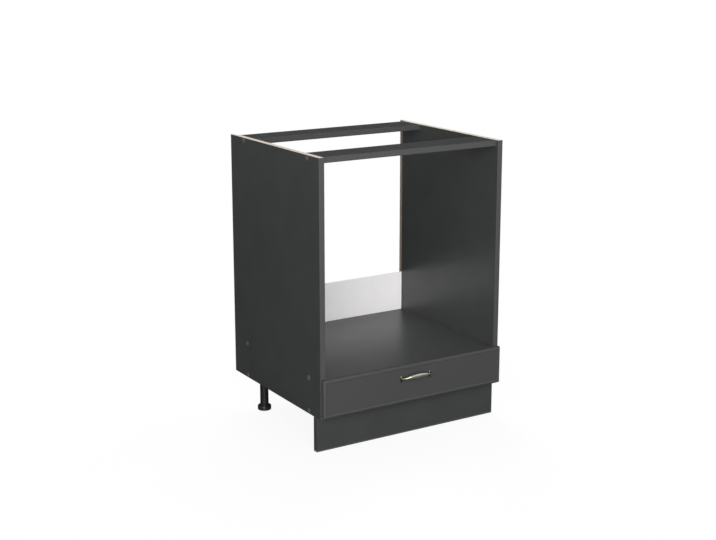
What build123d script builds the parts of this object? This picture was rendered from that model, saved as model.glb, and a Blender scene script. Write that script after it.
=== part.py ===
from build123d import *
from math import atan2, cos, degrees, pi
import os

# Oven housing unit, 600 mm module, standing on adjustable legs behind a plinth panel.
# Millimetres. X runs to the right, Y to the rear, Z up. The origin is on the floor,
# below the middle of the whole unit's outline, handle included.

# Carcass boards
UNIT_WIDTH = 600.0
SIDE_HEIGHT = 720.0
CARCASS_DEPTH = 510.0
BOARD = 16.0
LEG_ROOM = 100.0
BAY_HEIGHT = 80.0
STRETCHER_WIDTH = 90.0
FRONT_STRETCHER_SETBACK = 7.0
REAR_STRETCHER_INSET = 31.0
EDGING = 0.8
EDGING_ROUND = 0.5

# Back board and the rabbet that it lies in
RABBET_DEPTH = 8.0
RABBET_WIDTH = 25.0
BACK_HEIGHT = 235.0
BACK_THICKNESS = 3.0
BACK_PLAY = 0.3

# Carcass joints: one-piece connecting screws and beech dowels
SCREW_ROW_FRONT = 64.0
SCREW_ROW_REAR = 80.0
SCREW_LENGTH = 50.0
SCREW_HEAD_RADIUS = 5.0
SCREW_CORE_RADIUS = 2.5
SCREW_CONE_DEPTH = 3.0
SCREW_FACETS = 8
DOWEL_PITCH = 32.0
DOWEL_RADIUS = 4.0
DOWEL_LENGTH = 30.0
DOWEL_IN_SIDE = 12.0
DOWEL_FLUTES = 12
HOLE_PLAY = 0.05
HOLE_SPARE = 0.3

# Holes in the stretchers for the screws that hold the worktop
WORKTOP_HOLE_RADIUS = 2.5
WORKTOP_HOLE_PITCH = 400.0

# Plinth panel and its clips
PLINTH_SETBACK = 22.0
PLINTH_THICKNESS = 16.0
PLINTH_PLAY = 0.3
PLINTH_EASE = 0.6
CLIP_WALL = 2.2
CLIP_HEIGHT = 20.0
CLIP_RAISE = 40.0
CLIP_MOUTH = 18.0
CLIP_NECK = 10.0
CLIP_BASE_WIDTH = 42.0
CLIP_BASE_HEIGHT = 30.0
CLIP_BASE_THICKNESS = 3.0

# Adjustable legs
LEG_INSET = 41.0
LEG_ROW_FRONT = 64.0
LEG_ROW_REAR = 104.0
LEG_PLATE = 50.0
LEG_PLATE_THICKNESS = 4.0
LEG_PLATE_CORNER = 8.0
LEG_COLLAR_WALL = 3.4
LEG_COLLAR_HEIGHT = 12.0
LEG_SOCKET_ROOF = 3.0
LEG_TUBE_RADIUS = 12.5
FOOT_SPINDLE_RADIUS = 10.0
FOOT_SPINDLE_LENGTH = 55.0
FOOT_RADIUS = 19.5
FOOT_RIM_HEIGHT = 5.0
FOOT_HEIGHT = 10.0
FOOT_GAP = 0.3
SPINDLE_FIT = 0.05

# Roller runners of folded steel, as long as the carcass allows
RUNNER_SETBACK = 2.0
RUNNER_REAR_SPACE = 33.0
RUNNER_LENGTH = CARCASS_DEPTH - RABBET_WIDTH - RUNNER_SETBACK - RUNNER_REAR_SPACE
RUNNER_LIFT = 10.0
RUNNER_GAP = 12.5
STEEL = 1.2
STEEL_BEND = 1.5
CHANNEL_FLANGE = 10.0
CHANNEL_HEADROOM = 1.0
WING_EDGE = 2.5
LEDGE_WIDTH = 11.0
ROLLER_RADIUS = 9.0
ROLLER_WIDTH = 6.0
ROLLER_GAP = 0.3
ROLLER_RIM = 2.0
ROLLER_DISH = 1.5
ROLLER_HUB_RADIUS = 4.2
ROLLER_BORE_RADIUS = 2.05
AXLE_RADIUS = 2.0
AXLE_HEAD_RADIUS = 3.5
AXLE_HEAD = 0.8
CHANNEL_ROLLER_EDGE = 2.0
WING_ROLLER_EDGE = 3.6
ROLLER_SIDE_PLAY = 0.2
ROLLER_INSET = 12.0
STOP_TAB_DROP = 6.0
STOP_TAB_EDGE = 3.0
STOP_TAB_WIDTH = 6.0
STOP_CLEARANCE = 0.5
RUNNER_OVERLAP = 110.0
DRAWER_TRAVEL = RUNNER_LENGTH - RUNNER_OVERLAP

# Drawer box
DRAWER_BOARD = 12.0
DRAWER_DEPTH = RUNNER_LENGTH
DRAWER_HEADROOM = 10.8
DRAWER_SIDE_HEIGHT = BAY_HEIGHT - RUNNER_LIFT - STEEL - DRAWER_HEADROOM
DRAWER_EASE = 1.2
BOTTOM_THICKNESS = 3.0
BOTTOM_RISE = 8.0
GROOVE_DEPTH = 6.0
GROOVE_PLAY = 0.1

# Drawer front with a raised, rounded rim around a lower field
FRONT_GAP = 1.0
FRONT_THICKNESS = 16.0
FRONT_REVEAL = 1.5
FRONT_RISE = 7.0
FRONT_TOP_REVEAL = 2.0
RIM_WIDTH = 6.0
SLOPE_WIDTH = 5.0
FIELD_DEPTH = 2.0
RIM_ROUND = 2.5
BUMPER_RADIUS = 4.0
BUMPER_DROP = 12.0

# Cam fittings between the drawer sides and the front
CAM_RADIUS = 7.5
CAM_DEPTH = 9.5
CAM_SETBACK = 24.0
CAM_RISE = 30.0
CAM_SLOT = 4.4
CAM_POCKET = 7.2
CAM_PLAY = 0.5
CAM_FACE = 2.6
CAM_DRIVE_LENGTH = 9.0
CAM_DRIVE_WIDTH = 1.4
BOLT_RADIUS = 2.0
BOLT_THREAD_LENGTH = 10.0
BOLT_HEAD_RADIUS = 3.0
BOLT_HEAD_LENGTH = 3.0
PEG_DROP = 11.0
PEG_RADIUS = 3.0
PEG_LENGTH = 25.0
PEG_IN_FRONT = 9.0

# Bow handle, cast in one piece with its oval end plates
HANDLE_PITCH = 96.0
HANDLE_HEIGHT = 67.0
HANDLE_REACH = 27.0
HANDLE_PLATE_WIDTH = 9.0
HANDLE_PLATE_HEIGHT = 20.0
HANDLE_PLATE_THICKNESS = 2.4
HANDLE_PLATE_ROUND = 0.8
BOW_ROOT = (3.6, 4.2)
BOW_NECK = (2.5, 3.2)
BOW_MIDDLE = (3.4, 4.4)
BOW_NECK_PLACE = 0.45
BOW_BEND = 1.1
HANDLE_SCREW_RADIUS = 2.0
HANDLE_SCREW_IN_HANDLE = 5.0
HANDLE_SCREW_HEAD_RADIUS = 4.0
HANDLE_SCREW_HEAD = 2.2
HANDLE_SCREW_CROWN_RADIUS = 3.2
HANDLE_HOLE_PLAY = 0.15

LEFT = -1
RIGHT = 1
SIDES = {"left": LEFT, "right": RIGHT}

# Places that follow from the sizes
front_reach = FRONT_GAP + FRONT_THICKNESS - FIELD_DEPTH + HANDLE_REACH
front_y = (front_reach - CARCASS_DEPTH) / 2
rear_y = front_y + CARCASS_DEPTH
back_y = rear_y - RABBET_WIDTH
outer_x = UNIT_WIDTH / 2
inner_x = outer_x - BOARD
top_z = LEG_ROOM + SIDE_HEIGHT
bay_z = LEG_ROOM + BOARD
shelf_z = bay_z + BAY_HEIGHT
shelf_top_z = shelf_z + BOARD
front_stretcher_y = front_y + FRONT_STRETCHER_SETBACK
rear_stretcher_y = rear_y - REAR_STRETCHER_INSET - STRETCHER_WIDTH

screw_front_y = front_y + SCREW_ROW_FRONT
screw_rear_y = rear_y - SCREW_ROW_REAR
bottom_mid_z = LEG_ROOM + BOARD / 2
shelf_mid_z = shelf_z + BOARD / 2
stretcher_mid_z = top_z - BOARD / 2
screw_heights = (bottom_mid_z, shelf_mid_z, stretcher_mid_z)
screw_spots = [(y, z) for y in (screw_front_y, screw_rear_y) for z in screw_heights]
dowel_rows = (screw_front_y - DOWEL_PITCH, screw_rear_y + DOWEL_PITCH)
dowel_spots = [(y, stretcher_mid_z) for y in dowel_rows]

leg_x = outer_x - LEG_INSET
leg_rows = {"front": front_y + LEG_ROW_FRONT, "rear": rear_y - LEG_ROW_REAR}
socket_radius = LEG_TUBE_RADIUS + HOLE_PLAY
collar_z = LEG_ROOM - LEG_PLATE_THICKNESS - LEG_COLLAR_HEIGHT
socket_top_z = LEG_ROOM - LEG_SOCKET_ROOF
tube_z = FOOT_HEIGHT + FOOT_GAP

plinth_y = front_y + PLINTH_SETBACK
plinth_rear_y = plinth_y + PLINTH_THICKNESS
plinth_height = LEG_ROOM - PLINTH_PLAY

runner_z = bay_z + RUNNER_LIFT
roller_z = runner_z + STEEL + ROLLER_GAP + ROLLER_RADIUS
wing_z = roller_z + ROLLER_RADIUS + ROLLER_GAP
channel_top_z = wing_z + STEEL + CHANNEL_HEADROOM + STEEL
runner_y = front_y + RUNNER_SETBACK
runner_end_y = runner_y + RUNNER_LENGTH
channel_roller_y = runner_y + ROLLER_INSET

drawer_y = front_y - FRONT_GAP
drawer_end_y = drawer_y + DRAWER_DEPTH
drawer_x = inner_x - RUNNER_GAP
drawer_inner_x = drawer_x - DRAWER_BOARD
drawer_mid_x = drawer_x - DRAWER_BOARD / 2
drawer_z = runner_z + STEEL
drawer_top_z = drawer_z + DRAWER_SIDE_HEIGHT
bottom_z = drawer_z + BOTTOM_RISE
bottom_top_z = bottom_z + BOTTOM_THICKNESS
wing_roller_y = drawer_end_y - ROLLER_INSET
stop_tab_y = channel_roller_y + ROLLER_RADIUS + STOP_CLEARANCE + DRAWER_TRAVEL
channel_shoulder = CHANNEL_ROLLER_EDGE - STEEL
wing_shoulder = RUNNER_GAP - STEEL - WING_ROLLER_EDGE - ROLLER_WIDTH

front_face_y = drawer_y - FRONT_THICKNESS
field_y = front_face_y + FIELD_DEPTH
front_z = LEG_ROOM + FRONT_RISE
front_top_z = shelf_top_z - FRONT_TOP_REVEAL
front_height = front_top_z - front_z
front_mid_z = (front_z + front_top_z) / 2
front_width = UNIT_WIDTH - 2 * FRONT_REVEAL
cam_y = drawer_y + CAM_SETBACK
cam_z = drawer_z + CAM_RISE
peg_z = drawer_top_z - PEG_DROP
handle_z = front_z + HANDLE_HEIGHT


def save(piece, name):
    """Label one finished piece and write it as its own STEP file."""
    piece.label = name
    export_step(piece, f"parts/{name}.step")


def bore(plane, spots, radius, depth, taper=0.0):
    """Cut round holes at spots on a plane, straight or narrowing, to a signed depth."""
    with BuildSketch(plane) as circles:
        with Locations(*spots):
            Circle(radius)
    extrude(circles.sketch, amount=depth, taper=taper, mode=Mode.SUBTRACT)


def spread(piece, places):
    """Return a group of copies of one piece, each a separate solid, at the given places."""
    with BuildPart() as group:
        with Locations(*places):
            add(piece)
    return group.part


def block(x_span, y_span, z_span):
    """Return a rectangular board between pairs of limits along X, Y and Z."""
    with BuildPart() as board:
        with BuildSketch(Plane.XY.offset(z_span[0])):
            with Locations((sum(x_span) / 2, sum(y_span) / 2)):
                Rectangle(x_span[1] - x_span[0], y_span[1] - y_span[0])
        extrude(amount=z_span[1] - z_span[0])
    return board.part


def facets(radius, sides, bottom, top):
    """Return an upright prism with flat sides between two heights, such as a fluted dowel."""
    with BuildPart() as prism:
        with BuildSketch(Plane.XY.offset(bottom)):
            RegularPolygon(radius, sides)
        extrude(amount=top - bottom)
    return prism.part


def turned(outline):
    """Return the solid that an outline of (radius, height) points makes around Z."""
    with BuildPart() as lathe:
        with BuildSketch(Plane.XZ):
            with BuildLine():
                Polyline(*outline, close=True)
            make_face()
        revolve(axis=Axis.Z)
    return lathe.part


def facing(side, x, y, z):
    """Return the place of a piece whose own +Z looks out of one side of the unit."""
    return Location((x, y, z), (0, side * 90, 0))


# Carcass


def side_panel(side):
    """Side of the carcass, with the rabbet for the back board down its rear inner edge."""
    outer_face = Plane.YZ.offset(side * outer_x)
    inner_face = Plane.YZ.offset(side * inner_x)
    cone = degrees(atan2(SCREW_HEAD_RADIUS - SCREW_CORE_RADIUS, SCREW_CONE_DEPTH))
    with BuildPart() as panel:
        with BuildSketch(Plane.XY.offset(LEG_ROOM)):
            with Locations((side * (inner_x + outer_x) / 2, (front_y + EDGING + rear_y) / 2)):
                Rectangle(BOARD, CARCASS_DEPTH - EDGING)
            with Locations((side * (inner_x + RABBET_DEPTH / 2), (back_y + rear_y) / 2)):
                Rectangle(RABBET_DEPTH, RABBET_WIDTH, mode=Mode.SUBTRACT)
        extrude(amount=SIDE_HEIGHT)
        bore(outer_face, screw_spots, SCREW_HEAD_RADIUS + HOLE_PLAY, -side * SCREW_CONE_DEPTH, cone)
        bore(outer_face, screw_spots, SCREW_CORE_RADIUS + HOLE_PLAY, -side * BOARD)
        bore(inner_face, dowel_spots, DOWEL_RADIUS + HOLE_PLAY, side * (DOWEL_IN_SIDE + HOLE_SPARE))
    return panel.part


def end_holes(spots, radius, depth):
    """Drill both ends of a cross board at (y, z) spots for its screws or dowels."""
    for side in SIDES.values():
        bore(Plane.YZ.offset(side * inner_x), spots, radius + HOLE_PLAY, -side * (depth + HOLE_SPARE))


def cross_panel(z):
    """Full-depth board between the sides: the bottom of the carcass or the oven's shelf."""
    spots = [(y, z + BOARD / 2) for y in (screw_front_y, screw_rear_y)]
    with BuildPart() as panel:
        add(block((-inner_x, inner_x), (front_y + EDGING, back_y), (z, z + BOARD)))
        end_holes(spots, SCREW_CORE_RADIUS, SCREW_LENGTH - BOARD)
    return panel.part


def stretcher(y, row_screw, row_dowel):
    """Flat rail across the top, with two holes for the worktop's screws."""
    holes = [(side * WORKTOP_HOLE_PITCH / 2, y + STRETCHER_WIDTH / 2) for side in SIDES.values()]
    with BuildPart() as rail:
        add(block((-inner_x, inner_x), (y + EDGING, y + STRETCHER_WIDTH), (top_z - BOARD, top_z)))
        end_holes([(row_screw, stretcher_mid_z)], SCREW_CORE_RADIUS, SCREW_LENGTH - BOARD)
        end_holes([(row_dowel, stretcher_mid_z)], DOWEL_RADIUS, DOWEL_LENGTH - DOWEL_IN_SIDE)
        bore(Plane.XY.offset(top_z), holes, WORKTOP_HOLE_RADIUS, -BOARD)
    return rail.part


def edging_strip(x_span, y, z_span):
    """Edge band on the front edge of one board, with its four front edges eased."""
    with BuildPart() as strip:
        add(block(x_span, (y, y + EDGING), z_span))
        fillet(strip.faces().sort_by(Axis.Y)[0].edges(), EDGING_ROUND)
    return strip.part


def side_edging():
    """Edge bands of the two side panels."""
    with BuildPart() as bands:
        for side in SIDES.values():
            span = sorted((side * inner_x, side * outer_x))
            add(edging_strip(span, front_y, (LEG_ROOM, top_z)))
    return bands.part


def cross_edging():
    """Edge bands of the bottom, the shelf and the two stretchers."""
    span = (-inner_x, inner_x)
    with BuildPart() as bands:
        add(edging_strip(span, front_y, (LEG_ROOM, bay_z)))
        add(edging_strip(span, front_y, (shelf_z, shelf_top_z)))
        for y in (front_stretcher_y, rear_stretcher_y):
            add(edging_strip(span, y, (top_z - BOARD, top_z)))
    return bands.part


def back_board():
    """Low back board, which lies in the side panels' rabbets against the cross boards."""
    half = inner_x + RABBET_DEPTH - BACK_PLAY
    return block((-half, half), (back_y, back_y + BACK_THICKNESS), (LEG_ROOM, LEG_ROOM + BACK_HEIGHT))


def connecting_screw():
    """One-piece connecting screw, head up at height zero, its thread and cone as flat sides."""
    slant = (SCREW_HEAD_RADIUS - SCREW_CORE_RADIUS) * cos(pi / SCREW_FACETS)
    with BuildPart() as screw:
        add(facets(SCREW_CORE_RADIUS, SCREW_FACETS, -SCREW_LENGTH, -SCREW_CONE_DEPTH))
        with BuildSketch():
            RegularPolygon(SCREW_HEAD_RADIUS, SCREW_FACETS)
        extrude(amount=-SCREW_CONE_DEPTH, taper=degrees(atan2(slant, SCREW_CONE_DEPTH)))
    return screw.part


def on_side_faces():
    """Places of the connecting screws on both outer faces."""
    return [facing(side, side * outer_x, y, z) for side in SIDES.values() for y, z in screw_spots]


def carcass_dowels():
    """Beech dowels between the side panels and the stretchers, which keep these from turning."""
    dowel = facets(DOWEL_RADIUS, DOWEL_FLUTES, 0, DOWEL_LENGTH)
    start = inner_x + DOWEL_IN_SIDE
    places = [facing(-side, side * start, y, z) for side in SIDES.values() for y, z in dowel_spots]
    return spread(dowel, places)


# Legs and plinth


def leg_plate(side, row):
    """Screw-on plate of a leg, with the collar that the tube is pressed into."""
    centre = (side * leg_x, row)
    collar = socket_radius + LEG_COLLAR_WALL
    with BuildPart() as plate:
        with BuildSketch(Plane.XY.offset(LEG_ROOM - LEG_PLATE_THICKNESS)):
            with Locations(centre):
                RectangleRounded(LEG_PLATE, LEG_PLATE, LEG_PLATE_CORNER)
        extrude(amount=LEG_PLATE_THICKNESS)
        with BuildSketch(Plane.XY.offset(collar_z)):
            with Locations(centre):
                Circle(collar)
        extrude(amount=LEG_COLLAR_HEIGHT)
        bore(Plane.XY.offset(collar_z), [centre], socket_radius, socket_top_z - collar_z)
    return plate.part


def leg_tube(side, row):
    """Outer tube of a leg, from the plate's socket down to the foot."""
    with BuildPart() as tube:
        with BuildSketch(Plane.XY.offset(tube_z)):
            with Locations((side * leg_x, row)):
                Circle(LEG_TUBE_RADIUS)
                Circle(FOOT_SPINDLE_RADIUS + SPINDLE_FIT, mode=Mode.SUBTRACT)
        extrude(amount=socket_top_z - HOLE_PLAY - tube_z)
    return tube.part


def leg_foot(side, row):
    """Screw foot: a disc with a coned top on the spindle that runs in the leg's tube."""
    spindle = FOOT_SPINDLE_RADIUS
    spindle_top = FOOT_HEIGHT + FOOT_SPINDLE_LENGTH
    outline = [
        (0, 0),
        (FOOT_RADIUS, 0),
        (FOOT_RADIUS, FOOT_RIM_HEIGHT),
        (LEG_TUBE_RADIUS, FOOT_HEIGHT),
        (spindle, FOOT_HEIGHT),
        (spindle, spindle_top),
        (0, spindle_top),
    ]
    return spread(turned(outline), [Location((side * leg_x, row, 0))])


def plinth_panel():
    """Removable panel in front of the legs, as wide as the unit."""
    with BuildPart() as panel:
        add(block((-outer_x, outer_x), (plinth_y, plinth_rear_y), (0, plinth_height)))
        fillet(panel.faces().sort_by(Axis.Y)[0].edges(), PLINTH_EASE)
    return panel.part


def plinth_clip(side):
    """Spring clip on the plinth's rear face, which snaps around a front leg."""
    centre_y = leg_rows["front"]
    inside = LEG_TUBE_RADIUS + HOLE_PLAY
    outside = inside + CLIP_WALL
    base_y = plinth_rear_y + CLIP_BASE_THICKNESS
    neck_length = centre_y - inside - base_y
    with BuildPart() as clip:
        with BuildSketch(Plane.XY.offset(CLIP_RAISE)):
            with Locations((side * leg_x, centre_y)):
                Circle(outside)
            with Locations((side * leg_x, base_y + neck_length / 2)):
                Rectangle(CLIP_NECK, neck_length)
            with Locations((side * leg_x, centre_y)):
                Circle(inside, mode=Mode.SUBTRACT)
            with Locations((side * leg_x, centre_y + outside / 2)):
                Rectangle(CLIP_MOUTH, outside, mode=Mode.SUBTRACT)
        extrude(amount=CLIP_HEIGHT)
        with BuildSketch(Plane.XZ.offset(-base_y)):
            with Locations((side * leg_x, CLIP_RAISE + CLIP_HEIGHT / 2)):
                RectangleRounded(CLIP_BASE_WIDTH, CLIP_BASE_HEIGHT, CLIP_WALL)
        extrude(amount=CLIP_BASE_THICKNESS)
    return clip.part


# Roller runners


def folded(side, points, end_y, length):
    """Return a strip of sheet steel folded along (gap, z) points, running to the front.

    The first number of a point is its distance from the side panel's inner face.
    """
    with BuildPart() as strip:
        with BuildSketch(Plane.XZ.offset(-end_y)):
            with BuildLine():
                FilletPolyline(*[(side * (inner_x - gap), z) for gap, z in points], radius=STEEL_BEND)
            trace(line_width=STEEL)
        extrude(amount=length)
    return strip.part


def tab(side, gaps, z_span, y):
    """Return a small plate across the runner, between two distances from the side panel."""
    edges = sorted((side * (inner_x - gaps[0]), side * (inner_x - gaps[1])))
    return block(edges, (y, y + STEEL), z_span)


def cabinet_runner(side):
    """Channel on the side panel, open towards the drawer and closed at its rear end."""
    half = STEEL / 2
    section = [
        (CHANNEL_FLANGE, runner_z + half),
        (half, runner_z + half),
        (half, channel_top_z - half),
        (CHANNEL_FLANGE, channel_top_z - half),
    ]
    web = Plane.YZ.offset(side * inner_x)
    with BuildPart() as channel:
        add(folded(side, section, runner_end_y, RUNNER_LENGTH))
        add(tab(side, (half, CHANNEL_FLANGE), (runner_z + half, channel_top_z - half), runner_end_y - STEEL))
        bore(web, [(channel_roller_y, roller_z)], AXLE_RADIUS + HOLE_PLAY, -side * STEEL)
    return channel.part


def drawer_runner(side):
    """Z-shaped strip under the drawer side; its upper wing rides on the front roller."""
    half = STEEL / 2
    section = [
        (RUNNER_GAP + LEDGE_WIDTH, drawer_z - half),
        (RUNNER_GAP - half, drawer_z - half),
        (RUNNER_GAP - half, wing_z + half),
        (WING_EDGE, wing_z + half),
    ]
    tab_gaps = (STOP_TAB_EDGE, STOP_TAB_EDGE + STOP_TAB_WIDTH)
    axle_hole = AXLE_RADIUS + HOLE_PLAY
    with BuildPart() as strip:
        add(folded(side, section, drawer_end_y, DRAWER_DEPTH))
        add(tab(side, tab_gaps, (wing_z - STOP_TAB_DROP, wing_z + half), stop_tab_y))
        bore(Plane.YZ.offset(side * drawer_x), [(wing_roller_y, roller_z)], axle_hole, side * STEEL)
    return strip.part


def roller(shoulder):
    """Moulded roller along +Z from zero, its hub reaching back to the steel, its far face dished."""
    rim, far = ROLLER_RADIUS - ROLLER_RIM, ROLLER_WIDTH
    hub = ROLLER_SIDE_PLAY / 2 - shoulder
    outline = [
        (ROLLER_BORE_RADIUS, hub),
        (ROLLER_HUB_RADIUS, hub),
        (ROLLER_HUB_RADIUS, 0),
        (ROLLER_RADIUS, 0),
        (ROLLER_RADIUS, far),
        (rim, far),
        (rim, far - ROLLER_DISH),
        (ROLLER_BORE_RADIUS, far - ROLLER_DISH),
    ]
    return turned(outline)


def axle(shoulder):
    """Riveted axle along +Z from the back of the steel, its head sunk in the roller's dish."""
    run = STEEL + shoulder + ROLLER_WIDTH - ROLLER_DISH + ROLLER_SIDE_PLAY / 2
    outline = [
        (0, 0),
        (AXLE_RADIUS, 0),
        (AXLE_RADIUS, run),
        (AXLE_HEAD_RADIUS, run),
        (AXLE_HEAD_RADIUS, run + AXLE_HEAD),
        (0, run + AXLE_HEAD),
    ]
    return turned(outline)


def channel_axles():
    """Axles of the rollers at the front of the cabinet's channels."""
    places = [facing(-side, side * inner_x, channel_roller_y, roller_z) for side in SIDES.values()]
    return spread(axle(channel_shoulder), places)


def wing_axles():
    """Axles of the rollers at the rear of the drawer's strips."""
    places = [facing(side, side * drawer_x, wing_roller_y, roller_z) for side in SIDES.values()]
    return spread(axle(wing_shoulder), places)


# Drawer


def drawer_side(side):
    """Side of the drawer box, grooved for the bottom and bored for its cam fitting."""
    span = sorted((side * drawer_x, side * drawer_inner_x))
    front_end = Plane.XZ.offset(-drawer_y)
    inner_face = Plane.YZ.offset(side * drawer_inner_x)
    groove_x = side * (drawer_inner_x + GROOVE_DEPTH / 2)
    peg_depth = PEG_LENGTH - PEG_IN_FRONT + HOLE_SPARE
    with BuildPart() as board:
        add(block(span, (drawer_y, drawer_end_y), (drawer_z, drawer_top_z)))
        fillet(board.edges().filter_by(Axis.Y), DRAWER_EASE)
        with BuildSketch(Plane.XZ.offset(-drawer_end_y)):
            with Locations((groove_x, bottom_z + BOTTOM_THICKNESS / 2)):
                Rectangle(GROOVE_DEPTH, BOTTOM_THICKNESS + 2 * GROOVE_PLAY)
        extrude(amount=DRAWER_DEPTH, mode=Mode.SUBTRACT)
        bore(front_end, [(side * drawer_mid_x, cam_z)], BOLT_HEAD_RADIUS + HOLE_PLAY, -CAM_SETBACK)
        bore(front_end, [(side * drawer_mid_x, peg_z)], PEG_RADIUS + HOLE_PLAY, -peg_depth)
        bore(inner_face, [(cam_y, cam_z)], CAM_RADIUS + HOLE_PLAY, side * CAM_DEPTH)
    return board.part


def drawer_back():
    """Back of the drawer box, which stands on the bottom board between the sides."""
    y = drawer_end_y - DRAWER_BOARD
    with BuildPart() as board:
        add(block((-drawer_inner_x, drawer_inner_x), (y, drawer_end_y), (bottom_top_z, drawer_top_z)))
        fillet(board.faces().sort_by(Axis.Z)[-1].edges().filter_by(Axis.X), DRAWER_EASE)
    return board.part


def drawer_bottom():
    """Thin bottom board, held in the grooves of the sides and the front."""
    half = drawer_inner_x + GROOVE_DEPTH - GROOVE_PLAY
    front = drawer_y - GROOVE_DEPTH + GROOVE_PLAY
    return block((-half, half), (front, drawer_end_y), (bottom_z, bottom_top_z))


def drawer_front():
    """Drawer front: a rounded rim, a slope falling from it and a flat field inside."""
    rear_face = Plane.XZ.offset(-drawer_y)
    field_width = front_width - 2 * (RIM_WIDTH + SLOPE_WIDTH)
    field_height = front_height - 2 * (RIM_WIDTH + SLOPE_WIDTH)
    groove_width = 2 * (drawer_inner_x + GROOVE_DEPTH)
    bolt_spots = [(side * drawer_mid_x, cam_z) for side in SIDES.values()]
    peg_spots = [(side * drawer_mid_x, peg_z) for side in SIDES.values()]
    bolt_hole = BOLT_RADIUS + HOLE_PLAY
    handle_hole = HANDLE_SCREW_RADIUS + HANDLE_HOLE_PLAY
    with BuildPart() as front:
        with BuildSketch(rear_face):
            with Locations((0, front_mid_z)):
                Rectangle(front_width, front_height)
        extrude(amount=FRONT_THICKNESS)
        fillet(front.faces().sort_by(Axis.Y)[0].edges(), RIM_ROUND)
        with BuildSketch(Plane.XZ.offset(-front_face_y)):
            with Locations((0, front_mid_z)):
                Rectangle(front_width - 2 * RIM_WIDTH, front_height - 2 * RIM_WIDTH)
        with BuildSketch(Plane.XZ.offset(-field_y)):
            with Locations((0, front_mid_z)):
                Rectangle(field_width, field_height)
        loft(mode=Mode.SUBTRACT)
        with BuildSketch(rear_face):
            with Locations((0, bottom_z + BOTTOM_THICKNESS / 2)):
                Rectangle(groove_width, BOTTOM_THICKNESS + 2 * GROOVE_PLAY)
        extrude(amount=GROOVE_DEPTH, mode=Mode.SUBTRACT)
        bore(rear_face, bolt_spots, bolt_hole, BOLT_THREAD_LENGTH + HOLE_SPARE)
        bore(rear_face, peg_spots, PEG_RADIUS + HOLE_PLAY, PEG_IN_FRONT + HOLE_SPARE)
        bore(rear_face, handle_spots(), handle_hole, FRONT_THICKNESS)
    return front.part


def handle_spots():
    """Places of the two handle screws, as (x, z)."""
    return [(side * HANDLE_PITCH / 2, handle_z) for side in SIDES.values()]


def bumpers():
    """Soft dots on the back of the drawer front, which meet the side panels' edges."""
    middle = (inner_x + outer_x) / 2
    dot = turned([(0, 0), (BUMPER_RADIUS, 0), (BUMPER_RADIUS, FRONT_GAP), (0, FRONT_GAP)])
    z = front_top_z - BUMPER_DROP
    return spread(dot, [Location((side * middle, drawer_y, z), (-90, 0, 0)) for side in SIDES.values()])


def cams():
    """Cam locks in the drawer sides, each with the slot that takes its bolt's head."""
    depth = CAM_DEPTH - HOLE_PLAY
    with BuildPart() as cam:
        with BuildSketch():
            Circle(CAM_RADIUS)
        extrude(amount=-depth)
        with BuildSketch(Plane.XY.offset(-depth)):
            with Locations((0, -CAM_RADIUS / 2)):
                Rectangle(CAM_SLOT, CAM_RADIUS)
            with Locations((0, -BOLT_HEAD_LENGTH / 2)):
                Rectangle(CAM_POCKET, BOLT_HEAD_LENGTH + 2 * CAM_PLAY)
        extrude(amount=depth - CAM_FACE, mode=Mode.SUBTRACT)
        with BuildSketch():
            Rectangle(CAM_DRIVE_WIDTH, CAM_DRIVE_LENGTH)
        extrude(amount=-CAM_FACE / 2, mode=Mode.SUBTRACT)
    places = [facing(-side, side * drawer_inner_x, cam_y, cam_z) for side in SIDES.values()]
    return spread(cam.part, places)


def cam_bolts():
    """Bolts screwed into the drawer front, whose heads the cams hold."""
    reach = CAM_SETBACK
    outline = [
        (0, -BOLT_THREAD_LENGTH),
        (BOLT_RADIUS, -BOLT_THREAD_LENGTH),
        (BOLT_RADIUS, reach - BOLT_HEAD_LENGTH),
        (BOLT_HEAD_RADIUS, reach - BOLT_HEAD_LENGTH),
        (BOLT_HEAD_RADIUS, reach),
        (0, reach),
    ]
    places = [Location((side * drawer_mid_x, drawer_y, cam_z), (-90, 0, 0)) for side in SIDES.values()]
    return spread(turned(outline), places)


def drawer_pegs():
    """Small dowels that line the drawer sides up with the front."""
    peg = facets(PEG_RADIUS, DOWEL_FLUTES, 0, PEG_LENGTH)
    start = drawer_y - PEG_IN_FRONT
    places = [Location((side * drawer_mid_x, start, peg_z), (-90, 0, 0)) for side in SIDES.values()]
    return spread(peg, places)


# Handle


def bow_section(path, place, half_sizes):
    """Return one oval section of the bow, across its path at a place from 0 to 1."""
    along = path % place
    plane = Plane(origin=path @ place, x_dir=(0, 0, 1), z_dir=along)
    with BuildSketch(plane) as oval:
        Ellipse(half_sizes[1], half_sizes[0])
    return oval.sketch


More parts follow.
